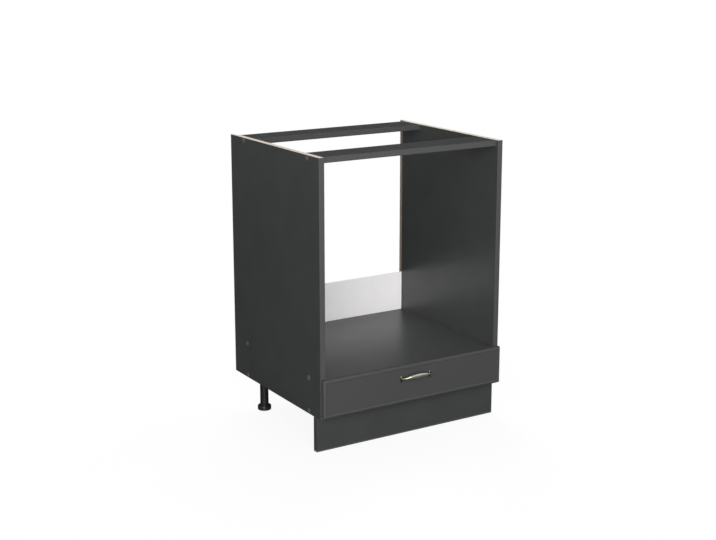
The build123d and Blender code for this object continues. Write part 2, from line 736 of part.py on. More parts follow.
def bow_handle():
    """Cast bow handle: oval plates, and a bow that thins at its necks and swells between."""
    crest = field_y - HANDLE_REACH + BOW_MIDDLE[0]
    root = field_y - HANDLE_PLATE_THICKNESS / 2
    half_pitch = HANDLE_PITCH / 2
    screw_hole = HANDLE_SCREW_RADIUS + HOLE_PLAY
    with BuildLine() as curve:
        Spline(
            (-half_pitch, root, handle_z),
            (0, crest, handle_z),
            (half_pitch, root, handle_z),
            tangents=((0, -1, 0), (0, 1, 0)),
            tangent_scalars=(BOW_BEND, BOW_BEND),
        )
    path = curve.wire()
    stations = [
        (0.0, BOW_ROOT),
        (BOW_NECK_PLACE / 2, BOW_NECK),
        (0.5, BOW_MIDDLE),
        (1 - BOW_NECK_PLACE / 2, BOW_NECK),
        (1.0, BOW_ROOT),
    ]
    sections = [bow_section(path, place, sizes) for place, sizes in stations]
    with BuildPart() as handle:
        with BuildSketch(Plane.XZ.offset(-field_y)):
            with Locations(*handle_spots()):
                Ellipse(HANDLE_PLATE_WIDTH / 2, HANDLE_PLATE_HEIGHT / 2)
        extrude(amount=HANDLE_PLATE_THICKNESS)
        fillet(handle.faces().group_by(Axis.Y)[0].edges(), HANDLE_PLATE_ROUND)
        loft([section.face() for section in sections])
        bore(Plane.XZ.offset(-field_y), handle_spots(), screw_hole, HANDLE_SCREW_IN_HANDLE + HOLE_SPARE)
    return handle.part


def handle_screws():
    """Machine screws through the drawer front into the handle."""
    head, core, high = HANDLE_SCREW_HEAD_RADIUS, HANDLE_SCREW_RADIUS, HANDLE_SCREW_HEAD
    reach = FRONT_THICKNESS - FIELD_DEPTH + HANDLE_SCREW_IN_HANDLE
    crown = (HANDLE_SCREW_CROWN_RADIUS, high)
    screw = turned([(0, -reach), (core, -reach), (core, 0), (head, 0), crown, (0, high)])
    return spread(screw, [Location((x, drawer_y, z), (-90, 0, 0)) for x, z in handle_spots()])


os.makedirs("parts", exist_ok=True)

save(side_panel(LEFT), "left_side_panel")
save(side_panel(RIGHT), "right_side_panel")
save(cross_panel(LEG_ROOM), "bottom_panel")
save(cross_panel(shelf_z), "oven_shelf")
save(stretcher(front_stretcher_y, screw_front_y, dowel_rows[0]), "front_stretcher")
save(stretcher(rear_stretcher_y, screw_rear_y, dowel_rows[1]), "rear_stretcher")
save(side_edging(), "side_edging")
save(cross_edging(), "cross_edging")
save(back_board(), "back_board")
save(spread(connecting_screw(), on_side_faces()), "connecting_screws")
save(carcass_dowels(), "carcass_dowels")

for row_name, row in leg_rows.items():
    for side_name, side in SIDES.items():
        save(leg_plate(side, row), f"leg_plate_{row_name}_{side_name}")
        save(leg_tube(side, row), f"leg_tube_{row_name}_{side_name}")
        save(leg_foot(side, row), f"leg_foot_{row_name}_{side_name}")
save(plinth_panel(), "plinth_panel")

for side_name, side in SIDES.items():
    save(plinth_clip(side), f"plinth_clip_{side_name}")
    save(cabinet_runner(side), f"cabinet_runner_{side_name}")
    save(drawer_runner(side), f"drawer_runner_{side_name}")
    save(drawer_side(side), f"drawer_side_{side_name}")
    channel_place = facing(-side, side * (inner_x - CHANNEL_ROLLER_EDGE), channel_roller_y, roller_z)
    wing_place = facing(side, side * (drawer_x + STEEL + wing_shoulder), wing_roller_y, roller_z)
    save(spread(roller(channel_shoulder), [channel_place]), f"front_roller_{side_name}")
    save(spread(roller(wing_shoulder), [wing_place]), f"rear_roller_{side_name}")
save(channel_axles(), "front_roller_axles")
save(wing_axles(), "rear_roller_axles")

save(drawer_front(), "drawer_front")
save(drawer_back(), "drawer_back")
save(drawer_bottom(), "drawer_bottom")
save(bumpers(), "front_bumpers")
save(cams(), "cam_locks")
save(cam_bolts(), "cam_bolts")
save(drawer_pegs(), "drawer_dowels")
save(bow_handle(), "bow_handle")
save(handle_screws(), "handle_screws")
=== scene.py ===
import logging
import math
from collections.abc import Iterable, Sequence
from dataclasses import dataclass, replace
from enum import Enum
from functools import reduce

import bmesh
import bpy
from mathutils import Matrix, Vector


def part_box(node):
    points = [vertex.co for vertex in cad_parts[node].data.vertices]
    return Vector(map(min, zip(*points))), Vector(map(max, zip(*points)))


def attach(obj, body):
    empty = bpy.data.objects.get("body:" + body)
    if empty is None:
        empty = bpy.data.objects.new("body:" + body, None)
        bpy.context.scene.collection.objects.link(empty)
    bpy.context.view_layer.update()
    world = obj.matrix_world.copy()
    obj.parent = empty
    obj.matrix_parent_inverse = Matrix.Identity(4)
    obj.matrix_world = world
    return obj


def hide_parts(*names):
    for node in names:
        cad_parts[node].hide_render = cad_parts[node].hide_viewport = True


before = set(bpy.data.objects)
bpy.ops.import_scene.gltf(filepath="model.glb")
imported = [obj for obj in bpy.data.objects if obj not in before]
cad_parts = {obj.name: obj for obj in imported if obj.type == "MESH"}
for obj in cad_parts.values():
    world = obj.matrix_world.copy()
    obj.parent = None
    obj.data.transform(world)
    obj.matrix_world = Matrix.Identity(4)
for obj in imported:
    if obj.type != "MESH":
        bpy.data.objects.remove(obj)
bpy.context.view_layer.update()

# Dressed view of a 600 mm oven housing unit. Metres; X to the right, Y to the rear, Z up.

logger = logging.getLogger("oven_housing")

MM = 0.001
SIDES = {"left": -1, "right": 1}
ROWS = ("front", "rear")
DOWN = Vector((0.0, 0.0, -1.0))
REARWARD = Vector((0.0, 1.0, 0.0))
QUARTER_TURN = math.pi / 2
BLACK = (0.0, 0.0, 0.0, 1.0)
WHITE = (1.0, 1.0, 1.0, 1.0)
SHARP_EDGE = math.radians(35.0)
SKIN = 0.05 * MM

Rgb = tuple[float, float, float]
Point = Sequence[float]
Socket = bpy.types.NodeSocket


class Body(Enum):
    """Bodies of the unit that a new piece can ride on."""

    CARCASS = "carcass"
    DRAWER = "drawer"
    FRONT_LEFT_FOOT = "leg_foot_front_left"
    FRONT_RIGHT_FOOT = "leg_foot_front_right"
    REAR_LEFT_FOOT = "leg_foot_rear_left"
    REAR_RIGHT_FOOT = "leg_foot_rear_right"


class Slot(Enum):
    """Material slots of the unit's record that a new piece can take its finish from."""

    EDGE_BAND = "edge_band"
    BLACK_PLASTIC = "black_plastic"
    ZINC_STEEL = "zinc_steel"
    AGED_BRASS = "aged_brass"
    FRONT_LACQUER = "front_lacquer"


class Axis(Enum):
    """Directions along which a coordinate is read; ACROSS is the distance from the middle plane."""

    Y = 1
    Z = 2
    ACROSS = 3


class Combine(Enum):
    """Ways of making one mesh out of two."""

    CUT = "DIFFERENCE"
    MELT = "UNION"


@dataclass(frozen=True)
class Extent:
    """Lowest and highest corners of a piece at rest."""

    low: Vector
    high: Vector

    @classmethod
    def of(cls, node: str) -> "Extent":
        """Read the extent of one construction node."""
        return cls(*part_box(node))

    @property
    def mid(self) -> Vector:
        """Middle of the extent."""
        return (self.low + self.high) / 2

    @property
    def size(self) -> Vector:
        """Size of the extent along each axis."""
        return self.high - self.low


@dataclass(frozen=True)
class Limit:
    """Half of space on one side of a plane, used to choose a region of a board."""

    axis: Axis
    value: float
    beyond: bool = True


Region = tuple[Limit, ...]


def colour(red: int, green: int, blue: int) -> Rgb:
    """Turn screen values from 0 to 255 into the linear colour that nodes take."""
    values = (value / 255 for value in (red, green, blue))
    return tuple(v / 12.92 if v <= 0.04045 else ((v + 0.055) / 1.055) ** 2.4 for v in values)


class Nodes:
    """Node tree, with short calls that add nodes and join them."""

    def __init__(self, tree: bpy.types.NodeTree) -> None:
        """Take over a node tree."""
        self.tree = tree

    def add(self, kind: str, **settings: object) -> bpy.types.Node:
        """Add a node.

        Args:
            kind: Type name of the node.
            **settings: Properties of the node to set.

        Returns:
            The new node.
        """
        node = self.tree.nodes.new(kind)
        for name, value in settings.items():
            setattr(node, name, value)
        return node

    def feed(self, node: bpy.types.Node, values: dict[str | int, object]) -> bpy.types.Node:
        """Join sockets or set constants on a node's inputs.

        Args:
            node: Node that takes the values.
            values: For each input, a socket to join or a constant.

        Returns:
            The same node.
        """
        for key, value in values.items():
            if isinstance(value, bpy.types.NodeSocket):
                self.tree.links.new(value, node.inputs[key])
            else:
                node.inputs[key].default_value = value
        return node

    def spread(self, value: Socket, low: float, high: float, start: float = 0.3, end: float = 0.7) -> Socket:
        """Map the range of a value from start to end to the range from low to high, and hold it there."""
        node = self.add("ShaderNodeMapRange")
        return self.feed(node, {0: value, 1: start, 2: end, 3: low, 4: high}).outputs[0]

    def calc(self, operation: str, first: object, second: object = 0.0) -> Socket:
        """Combine two sockets or numbers by the arithmetic operation of that name."""
        return self.feed(self.add("ShaderNodeMath", operation=operation), {0: first, 1: second}).outputs[0]

    def chain(self, operation: str, values: Iterable[Socket]) -> Socket:
        """Combine any number of sockets, one after another, by one arithmetic operation."""
        return reduce(lambda first, second: self.calc(operation, first, second), values)

    def seen(self) -> Socket:
        """Mask that is 1 for what is seen directly, in gloss or through clear things."""
        rays = self.add("ShaderNodeLightPath").outputs
        kinds = ("Is Camera Ray", "Is Glossy Ray", "Is Transmission Ray")
        return self.chain("MAXIMUM", [rays[kind] for kind in kinds])


class Paint(Nodes):
    """Node tree of one material."""

    def __init__(self, name: str) -> None:
        """Start a material with a plain surface shader.

        Args:
            name: Name of the material.
        """
        self.material = bpy.data.materials.new(name)
        self.material.use_nodes = True
        super().__init__(self.material.node_tree)
        self.shader = self.tree.nodes["Principled BSDF"]
        self.place = self.add("ShaderNodeTexCoord").outputs["Object"]

    def surface(self, **values: object) -> bpy.types.Material:
        """Join or set the shader's inputs.

        Args:
            **values: Inputs by name, with underscores for spaces.

        Returns:
            The material.
        """
        inputs = [key.replace("_", " ").replace("Specular Level", "Specular IOR Level") for key in values]
        self.feed(self.shader, dict(zip(inputs, values.values())))
        return self.material

    def stretched(self, scale: Sequence[float]) -> Socket:
        """Object coordinates scaled by a factor along each axis."""
        mapping = self.add("ShaderNodeMapping")
        return self.feed(mapping, {"Vector": self.place, "Scale": scale}).outputs["Vector"]

    def noise(self, scale: float, detail: float = 2.0, place: Socket | None = None) -> Socket:
        """Soft noise from 0 to 1.

        Args:
            scale: Features per metre.
            detail: Number of finer layers.
            place: Coordinates to read it at, or the object's own.

        Returns:
            The noise value.
        """
        node = self.add("ShaderNodeTexNoise")
        values = {"Vector": place or self.place, "Scale": scale, "Detail": detail}
        return self.feed(node, values).outputs["Fac"]

    def cells(self, scale: float, place: Socket | None = None) -> Socket:
        """One random value from 0 to 1 for each cell of a broken-up surface.

        Args:
            scale: Cells per metre.
            place: Coordinates to read it at, or the object's own.

        Returns:
            The cell's value.
        """
        values = {"Vector": place or self.place, "Scale": scale}
        voronoi = self.feed(self.add("ShaderNodeTexVoronoi"), values)
        return self.feed(self.add("ShaderNodeSeparateColor"), {0: voronoi.outputs["Color"]}).outputs[0]

    def mix(self, share: Socket, first: Rgb | Socket, second: Rgb | Socket) -> Socket:
        """Mix two colours.

        Args:
            share: Part of the second colour, from 0 to 1.
            first: Colour at 0.
            second: Colour at 1.

        Returns:
            The mixed colour.
        """
        node = self.add("ShaderNodeMix", data_type="RGBA")
        tones = [(*tone, 1.0) if isinstance(tone, tuple) else tone for tone in (first, second)]
        return self.feed(node, {0: share, 6: tones[0], 7: tones[1]}).outputs[2]

    def mottled(self, face: Rgb, shade: float, patches: Socket) -> Socket:
        """Face colour that turns in patches to a shade of itself."""
        return self.mix(self.spread(patches, 0.0, 1.0), tuple(part * shade for part in face), face)

    def near(self, value: Socket, middle: float, play: float) -> Socket:
        """Value that keeps within a little play of its middle."""
        return self.spread(value, middle - play, middle + play)

    def along(self, axis: Axis) -> Socket:
        """Coordinate of a point along one axis.

        Args:
            axis: The axis, or ACROSS for the distance from the middle plane.

        Returns:
            The coordinate.
        """
        split = self.feed(self.add("ShaderNodeSeparateXYZ"), {0: self.place})
        if axis is Axis.ACROSS:
            return self.calc("ABSOLUTE", split.outputs[0])
        return split.outputs[axis.value]

    def region(self, region: Region) -> Socket:
        """Mask that is 1 where all limits of a region hold.

        Args:
            region: Limits of the region.

        Returns:
            The mask.
        """
        ways = ("LESS_THAN", "GREATER_THAN")
        masks = [self.calc(ways[limit.beyond], self.along(limit.axis), limit.value) for limit in region]
        return self.chain("MULTIPLY", masks)

    def regions(self, regions: Iterable[Region]) -> Socket:
        """Mask that is 1 inside any of several regions."""
        return self.chain("MAXIMUM", [self.region(region) for region in regions])

    def relief(self, height: Socket, depth: float, before: Socket | None = None) -> Socket:
        """Turn a height into a bumped normal.

        Args:
            height: Height from 0 to 1.
            depth: Depth in metres of a height of 1.
            before: Normal that this relief is laid on.

        Returns:
            The normal.
        """
        node = self.feed(self.add("ShaderNodeBump"), {"Height": height, "Distance": depth, "Strength": 1.0})
        if before is not None:
            self.feed(node, {"Normal": before})
        return node.outputs["Normal"]


@dataclass(frozen=True)
class Chipboard:
    """Raw chipboard, with long coarse chips and fine ones between them."""

    pale: Rgb = colour(217, 209, 197)
    tan: Rgb = colour(193, 179, 161)
    brown: Rgb = colour(140, 114, 86)
    # Colour of the painted shade on the rabbet's floor, whose chips lie in shadow.
    painted_shade: Rgb = colour(112, 102, 95)
    painted_shade_share: float = 0.85
    coarse: float = 420.0
    coarse_share: float = 0.55
    coarse_stretch: tuple[float, float, float] = (1.0, 0.45, 1.0)
    fine: float = 1300.0
    specks: float = 900.0
    roughness: float = 0.85
    pits: float = 0.25 * MM

    def bare(
        self, paint: Paint, cuts: Iterable[Region], painted_shade: Region, tone: Socket, normal: Socket
    ) -> tuple[Socket, Socket, Socket]:
        """Lay the chips bare where a covered board is cut, with painted shade on one region of them.

        Args:
            paint: Material to add to.
            cuts: Regions of the cuts.
            painted_shade: Region of a cut whose chips get painted shade, a darker brown, or an empty one.
            tone: Colour of the covering.
            normal: Normal of the covering.

        Returns:
            The mask of the cuts, the colour and the normal.
        """
        cut = paint.regions(cuts)
        long_chips = paint.cells(self.coarse, paint.stretched(self.coarse_stretch))
        long_part = paint.calc("MULTIPLY", long_chips, self.coarse_share)
        fine_part = paint.calc("MULTIPLY", paint.cells(self.fine), 1 - self.coarse_share)
        chips = paint.calc("ADD", long_part, fine_part)
        raw = paint.mix(paint.spread(chips, 0.0, 1.0, 0.2, 0.6), self.tan, self.pale)
        raw = paint.mix(paint.spread(paint.noise(self.specks, 4.0), 0.0, 0.7, 0.6, 0.72), raw, self.brown)
        # Painted shade: the chips in this region turn a darker brown.
        if painted_shade:
            share = paint.calc("MULTIPLY", paint.region(painted_shade), self.painted_shade_share)
            raw = paint.mix(share, raw, self.painted_shade)
        bumped = paint.relief(paint.calc("MULTIPLY", cut, chips), self.pits, normal)
        return cut, paint.mix(cut, tone, raw), bumped


@dataclass(frozen=True)
class Melamine:
    """Dark melamine face with a faint pearl grain, over chipboard that shows at the cut edges."""

    name: str
    face: Rgb
    cut_edges: tuple[Region, ...] = ()
    # Region of a cut edge whose bare chips get painted shade.
    shaded_cut: Region = ()
    roughness: float = 0.31
    rough_play: float = 0.03
    gloss: float = 0.46
    pearl: float = 2600.0
    pearl_depth: float = 0.012 * MM
    clouds: float = 14.0
    cloud_play: float = 0.06

    def make(self) -> bpy.types.Material:
        """Build the material."""
        paint = Paint(self.name)
        play = self.cloud_play
        shades = [tuple(part * (1 + change) for part in self.face) for change in (-play, play)]
        tone = paint.mix(paint.spread(paint.noise(self.clouds, 3.0), 0.0, 1.0), *shades)
        grain = paint.noise(self.pearl, 1.0)
        rough = paint.near(grain, self.roughness, self.rough_play)
        normal = paint.relief(grain, self.pearl_depth)
        if self.cut_edges:
            board = Chipboard()
            cut, tone, normal = board.bare(paint, self.cut_edges, self.shaded_cut, tone, normal)
            rough = paint.calc("MAXIMUM", rough, paint.calc("MULTIPLY", cut, board.roughness))
        return paint.surface(Base_Color=tone, Roughness=rough, Normal=normal, Specular_Level=self.gloss)


@dataclass(frozen=True)
class EdgeBand:
    """Plastic edge band, smoother than the board, with faint lines along its length."""

    name: str
    face: Rgb
    roughness: float = 0.34
    rough_play: float = 0.04
    gloss: float = 0.3
    shade: float = 0.95
    grain: float = 1800.0
    grain_depth: float = 0.008 * MM
    lines: float = 500.0
    line_stretch: tuple[float, float, float] = (1.0, 1.0, 0.02)

    def make(self) -> bpy.types.Material:
        """Build the material."""
        paint = Paint(self.name)
        grain = paint.noise(self.grain)
        lines = paint.noise(self.lines, 2.0, paint.stretched(self.line_stretch))
        return paint.surface(
            Base_Color=paint.mottled(self.face, self.shade, lines),
            Roughness=paint.near(grain, self.roughness, self.rough_play),
            Normal=paint.relief(grain, self.grain_depth),
            Specular_Level=self.gloss,
        )


@dataclass(frozen=True)
class MattFoil:
    """Matt foil drawn over the profiled drawer front, with a very soft waviness."""

    name: str
    face: Rgb
    roughness: float = 0.46
    rough_play: float = 0.03
    gloss: float = 0.25
    shade: float = 0.96
    patches: float = 9.0
    wave: float = 70.0
    wave_depth: float = 0.02 * MM
    grain: float = 3200.0
    grain_depth: float = 0.006 * MM

    def make(self) -> bpy.types.Material:
        """Build the material."""
        paint = Paint(self.name)
        wave = paint.relief(paint.noise(self.wave, 1.0), self.wave_depth)
        grain = paint.noise(self.grain, 1.0)
        return paint.surface(
            Base_Color=paint.mottled(self.face, self.shade, paint.noise(self.patches)),
            Roughness=paint.near(grain, self.roughness, self.rough_play),
            Normal=paint.relief(grain, self.grain_depth, wave),
            Specular_Level=self.gloss,
        )


@dataclass(frozen=True)
class Hardboard:
    """Thin fibreboard, lacquered on one side and raw brown fibre on the other."""

    name: str
    raw: Region
    face: Rgb = colour(248, 246, 247)
    fibre: Rgb = colour(128, 92, 62)
    fibre_light: Rgb = colour(160, 122, 86)
    patches: float = 20.0
    strands: float = 260.0
    strand_stretch: tuple[float, float, float] = (0.35, 1.0, 1.0)
    grain: float = 1500.0
    grain_depth: float = 0.03 * MM
    smooth: float = 0.5
    rough: float = 0.85
    gloss: float = 0.3
    shade: float = 0.97

    def make(self) -> bpy.types.Material:
        """Build the material."""
        paint = Paint(self.name)
        mask = paint.region(self.raw)
        strands = paint.noise(self.strands, 4.0, paint.stretched(self.strand_stretch))
        brown = paint.mix(paint.spread(strands, 0.0, 1.0, 0.35, 0.65), self.fibre, self.fibre_light)
        lacquer = paint.mottled(self.face, self.shade, paint.noise(self.patches))
        height = paint.calc("MAXIMUM", paint.noise(self.grain), paint.calc("MULTIPLY", mask, strands))
        return paint.surface(
            Base_Color=paint.mix(mask, lacquer, brown),
            Roughness=paint.spread(mask, self.smooth, self.rough, 0.0, 1.0),
            Normal=paint.relief(height, self.grain_depth),
            Specular_Level=self.gloss,
        )


@dataclass(frozen=True)
class PaperFoil:
    """Light grey foil with a fine linen weave on the drawer's boards, raw at their cut ends."""

    name: str
    cut_edges: tuple[Region, ...] = ()
    face: Rgb = colour(206, 206, 203)
    patches: float = 25.0
    weave: float = 5200.0
    weave_depth: float = 0.015 * MM
    gloss: float = 0.35
    shade: float = 0.95

    def make(self) -> bpy.types.Material:
        """Build the material."""
        paint = Paint(self.name)
        phases = [paint.calc("MULTIPLY", paint.along(axis), self.weave) for axis in (Axis.Y, Axis.Z)]
        threads = paint.chain("MULTIPLY", [paint.calc("SINE", phase) for phase in phases])
        linen = paint.spread(threads, 0.0, 1.0, -1.0, 1.0)
        tone = paint.mottled(self.face, self.shade, paint.noise(self.patches))
        normal = paint.relief(linen, self.weave_depth)
        if self.cut_edges:
            _, tone, normal = Chipboard().bare(paint, self.cut_edges, (), tone, normal)
        rough = paint.spread(linen, 0.5, 0.56, 0.0, 1.0)
        return paint.surface(Base_Color=tone, Roughness=rough, Normal=normal, Specular_Level=self.gloss)


@dataclass(frozen=True)
class MouldedPlastic:
    """Moulded plastic with a fine spark-eroded grain and slight changes of gloss."""

    name: str
    face: Rgb
    roughness: float = 0.45
    rough_play: float = 0.06
    gloss: float = 0.4
    shade: float = 0.88
    flow: float = 60.0
    grain: float = 1600.0
    grain_depth: float = 0.03 * MM

    def make(self) -> bpy.types.Material:
        """Build the material."""
        paint = Paint(self.name)
        flow = paint.noise(self.flow)
        return paint.surface(
            Base_Color=paint.mottled(self.face, self.shade, flow),
            Roughness=paint.near(flow, self.roughness, self.rough_play),
            Normal=paint.relief(paint.noise(self.grain, 3.0), self.grain_depth),
            Specular_Level=self.gloss,
        )


@dataclass(frozen=True)
class PowderCoat:
    """Powder coating on folded steel, with its orange-peel texture."""

    name: str
    face: Rgb = colour(222, 221, 215)
    patches: float = 35.0
    peel: float = 700.0
    peel_depth: float = 0.05 * MM
    gloss: float = 0.5
    shade: float = 0.96

    def make(self) -> bpy.types.Material:
        """Build the material."""
        paint = Paint(self.name)
        peel = paint.noise(self.peel)
        return paint.surface(
            Base_Color=paint.mottled(self.face, self.shade, paint.noise(self.patches)),
            Roughness=paint.spread(peel, 0.28, 0.36),
            Normal=paint.relief(peel, self.peel_depth),
            Specular_Level=self.gloss,
        )


@dataclass(frozen=True)
class ZincPlate:
    """Zinc plating with faint spangle and dull spots."""

    name: str
    bright: Rgb = colour(196, 198, 200)
    dull: Rgb = colour(150, 152, 150)
    spangle: float = 900.0
    spangle_depth: float = 0.01 * MM
    stains: float = 220.0

    def make(self) -> bpy.types.Material:
        """Build the material."""
        paint = Paint(self.name)
        spangle = paint.cells(self.spangle)
        stain = paint.noise(self.stains, 3.0)
        dulled = paint.spread(spangle, 0.5, 1.0, 0.0, 1.0)
        share = paint.calc("MULTIPLY", paint.spread(stain, 0.2, 1.0), dulled)
        return paint.surface(
            Base_Color=paint.mix(share, self.bright, self.dull),
            Roughness=paint.spread(stain, 0.28, 0.45),
            Normal=paint.relief(spangle, self.spangle_depth),
            Metallic=1.0,
        )


@dataclass(frozen=True)
class AgedBrass:
    """Lacquered brass plating with patina blotches, and painted shade that darkens it from its crest back
    towards the board behind it.
    """

    name: str
    rear_y: float
    crest_y: float
    bright: Rgb = colour(204, 202, 190)
    olive: Rgb = colour(112, 108, 90)
    dark: Rgb = colour(48, 46, 38)
    stains: float = 380.0
    scratches: float = 2400.0
    scratch_stretch: tuple[float, float, float] = (0.08, 1.0, 1.0)
    scratch_depth: float = 0.006 * MM
    metal: float = 0.82
    lacquer: float = 0.6
    lacquer_roughness: float = 0.2

    def make(self) -> bpy.types.Material:
        """Build the material."""
        paint = Paint(self.name)
        stain = paint.noise(self.stains, 4.0)
        # Painted shade: 0 at the bow's crest, rising to 1 at the board behind the handle.
        rise = paint.spread(paint.along(Axis.Y), 0.0, 1.0, self.crest_y, self.rear_y)
        # Patina blotches mixed with the painted shade towards the board.
        patina_and_shade = paint.calc("ADD", paint.calc("MULTIPLY", rise, 0.55), paint.calc("MULTIPLY", stain, 0.6))
        warm = paint.mix(paint.spread(patina_and_shade, 0.0, 1.0, 0.2, 0.6), self.bright, self.olive)
        scratches = paint.noise(self.scratches, 2.0, paint.stretched(self.scratch_stretch))
        return paint.surface(
            Base_Color=paint.mix(paint.spread(patina_and_shade, 0.0, 0.9, 0.55, 0.85), warm, self.dark),
            Roughness=paint.spread(stain, 0.22, 0.36),
            Normal=paint.relief(scratches, self.scratch_depth),
            Metallic=self.metal,
            Coat_Weight=self.lacquer,
            Coat_Roughness=self.lacquer_roughness,
        )


@dataclass(frozen=True)
class Beech:
    """Plain beech with short dark flecks along the grain."""

    name: str
    grain: tuple[float, float, float]
    light: Rgb = colour(206, 168, 122)
    dark: Rgb = colour(172, 128, 84)
    fibres: float = 900.0
    fibre_depth: float = 0.05 * MM
    roughness: float = 0.6

    def make(self) -> bpy.types.Material:
        """Build the material."""
        paint = Paint(self.name)
        fibre = paint.noise(self.fibres, 3.0, paint.stretched(self.grain))
        tone = paint.mix(paint.spread(fibre, 0.0, 1.0), self.light, self.dark)
        return paint.surface(
            Base_Color=tone, Roughness=self.roughness, Normal=paint.relief(fibre, self.fibre_depth)
        )


@dataclass(frozen=True)
class SoftDot:
    """Clear soft plastic of the stop dots."""

    name: str
    hazy: Rgb = colour(205, 206, 206)
    clear: Rgb = colour(226, 226, 224)
    haze: float = 300.0
    clearness: float = 0.4

    def make(self) -> bpy.types.Material:
        """Build the material."""
        paint = Paint(self.name)
        haze = paint.noise(self.haze)
        tone = paint.mix(paint.spread(haze, 0.0, 1.0), self.hazy, self.clear)
        rough = paint.spread(haze, 0.2, 0.3)
        return paint.surface(Base_Color=tone, Roughness=rough, Transmission_Weight=self.clearness)


def dress(nodes: Iterable[str], material: bpy.types.Material) -> None:
    """Give construction nodes a material, in place of the plain one that they came with.

    Args:
        nodes: Names of the nodes.
        material: Material to give them.
    """
    for node in nodes:
        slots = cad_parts[node].data.materials
        slots.clear()
        slots.append(material)


def piece(
    name: str, mesh: bpy.types.Mesh, material: bpy.types.Material, body: Body
) -> bpy.types.Object:
    """Put a new piece in the scene, on the body that it rides.

    Args:
        name: Name of the piece.
        mesh: Its mesh, in metres in the unit's frame.
        material: Its finish.
        body: Body that it moves with.

    Returns:
        The new object.
    """
    mesh.name = name
    mesh.materials.clear()
    mesh.materials.append(material)
    made = bpy.data.objects.new(name, mesh)
    bpy.context.scene.collection.objects.link(made)
    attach(made, body.value)
    logger.info("%s: %d faces, rides %s", name, len(mesh.polygons), body.value)
    return made


def outward(place: Vector, direction: Vector) -> Matrix:
    """Return the place of a piece whose own +Z looks along a direction."""
    return Matrix.Translation(place) @ direction.to_track_quat("Z", "Y").to_matrix().to_4x4()


def on_both_sides(x: float, spots: Sequence[tuple[float, float]], way: int = 1) -> list[Matrix]:
    """Return places on both sides of the unit.

    Args:
        x: Distance of the places from the middle plane.
        spots: The (y, z) of each place on one side.
        way: 1 for pieces that look outward, -1 for ones that look inward.

    Returns:
        The places, left side first.
    """
    return [
        outward(Vector((side * x, y, z)), Vector((side * way, 0.0, 0.0)))
        for side in SIDES.values()
        for y, z in spots
    ]


def angles(count: int) -> list[float]:
    """Return evenly spaced angles, once around."""
    return [2 * math.pi * step / count for step in range(count)]


def shares(steps: int) -> list[float]:
    """Return evenly spaced shares from 0 to 1, both included."""
    return [step / steps for step in range(steps + 1)]


def quarter(steps: int) -> list[float]:
    """Return evenly spaced angles from 0 to a quarter turn, both included."""
    return [QUARTER_TURN * share for share in shares(steps)]


def ring(reaches: Sequence[float], height: float) -> list[Point]:
    """Return evenly spaced points round the Z axis, one at each reach."""
    turns = angles(len(reaches))
    return [(reach * math.cos(turn), reach * math.sin(turn), height) for reach, turn in zip(reaches, turns)]


def from_bmesh(shape: bmesh.types.BMesh) -> bpy.types.Mesh:
    """Turn an edit mesh into a mesh with smooth round parts and sharp corners.

    Args:
        shape: Edit mesh, which is used up.

    Returns:
        The mesh.
    """
    bmesh.ops.recalc_face_normals(shape, faces=shape.faces)
    mesh = bpy.data.meshes.new("part")
    shape.to_mesh(mesh)
    shape.free()
    mesh.shade_smooth()
    mesh.set_sharp_from_angle(angle=SHARP_EDGE)
    return mesh


def skin(shape: bmesh.types.BMesh, outlines: Iterable[Iterable[Point]]) -> None:
    """Add a closed skin over a row of outlines, all with the same count of points.

    Args:
        shape: Edit mesh to add to.
        outlines: Points of each outline.
    """
    rings = [[shape.verts.new(point) for point in outline] for outline in outlines]
    for lower, upper in zip(rings, rings[1:]):
        for step, corner in enumerate(lower):
            after = (step + 1) % len(lower)
            shape.faces.new((corner, lower[after], upper[after], upper[step]))
    shape.faces.new(rings[0][::-1])
    shape.faces.new(rings[-1])


def skinned(outlines: Iterable[Iterable[Point]]) -> bpy.types.Mesh:
    """Build a mesh that is one closed skin over a row of outlines.

    Args:
        outlines: Points of each outline.

    Returns:
        The closed mesh.
    """
    shape = bmesh.new()
    skin(shape, outlines)
    return from_bmesh(shape)


def turned(outline: Sequence[tuple[float, float]], segments: int = 40) -> bpy.types.Mesh:
    """Turn an outline around +Z.

    Args:
        outline: Points of (radius, height), of which the first and the last lie on the axis.
        segments: Number of steps around.

    Returns:
        The closed mesh.
    """
    shape = bmesh.new()
    rings = []
    for radius, height in outline:
        points = ring([radius] * segments, height) if radius else [(0.0, 0.0, height)]
        rings.append([shape.verts.new(point) for point in points])
    for lower, upper in zip(rings, rings[1:]):
        for step in range(segments):
            after = (step + 1) % segments
            picks = ((lower, step), (lower, after), (upper, after), (upper, step))
            shape.faces.new(list(dict.fromkeys(row[place % len(row)] for row, place in picks)))
    return from_bmesh(shape)


def combined(mesh: bpy.types.Mesh, other: bpy.types.Mesh, way: Combine) -> bpy.types.Mesh:
    """Cut one mesh out of another, or melt the two into one.

    Args:
        mesh: Mesh that stays.
        other: Mesh that is cut away or melted in.
        way: Which of the two.

    Returns:
        The new mesh.
    """
    bodies = [bpy.data.objects.new("carving", data) for data in (mesh, other)]
    for body in bodies:
        bpy.context.scene.collection.objects.link(body)
    modifier = bodies[0].modifiers.new("cut", "BOOLEAN")
    modifier.operation = way.value
    modifier.object = bodies[1]
    modifier.solver = "EXACT"
    seen = bodies[0].evaluated_get(bpy.context.evaluated_depsgraph_get())
    result = bpy.data.meshes.new_from_object(seen)
    for body in bodies:
        bpy.data.objects.remove(body)
    result.shade_smooth()
    result.set_sharp_from_angle(angle=SHARP_EDGE)
    return result


def gathered(mesh: bpy.types.Mesh, places: Iterable[Matrix]) -> bpy.types.Mesh:
    """Join copies of one mesh at several places into one mesh.

    Args:
        mesh: Mesh to copy.
        places: Place of each copy.

    Returns:
        The joined mesh.
    """
    group = bmesh.new()
    for place in places:
        copy = mesh.copy()
        copy.transform(place)
        group.from_mesh(copy)
        bpy.data.meshes.remove(copy)
    return from_bmesh(group)


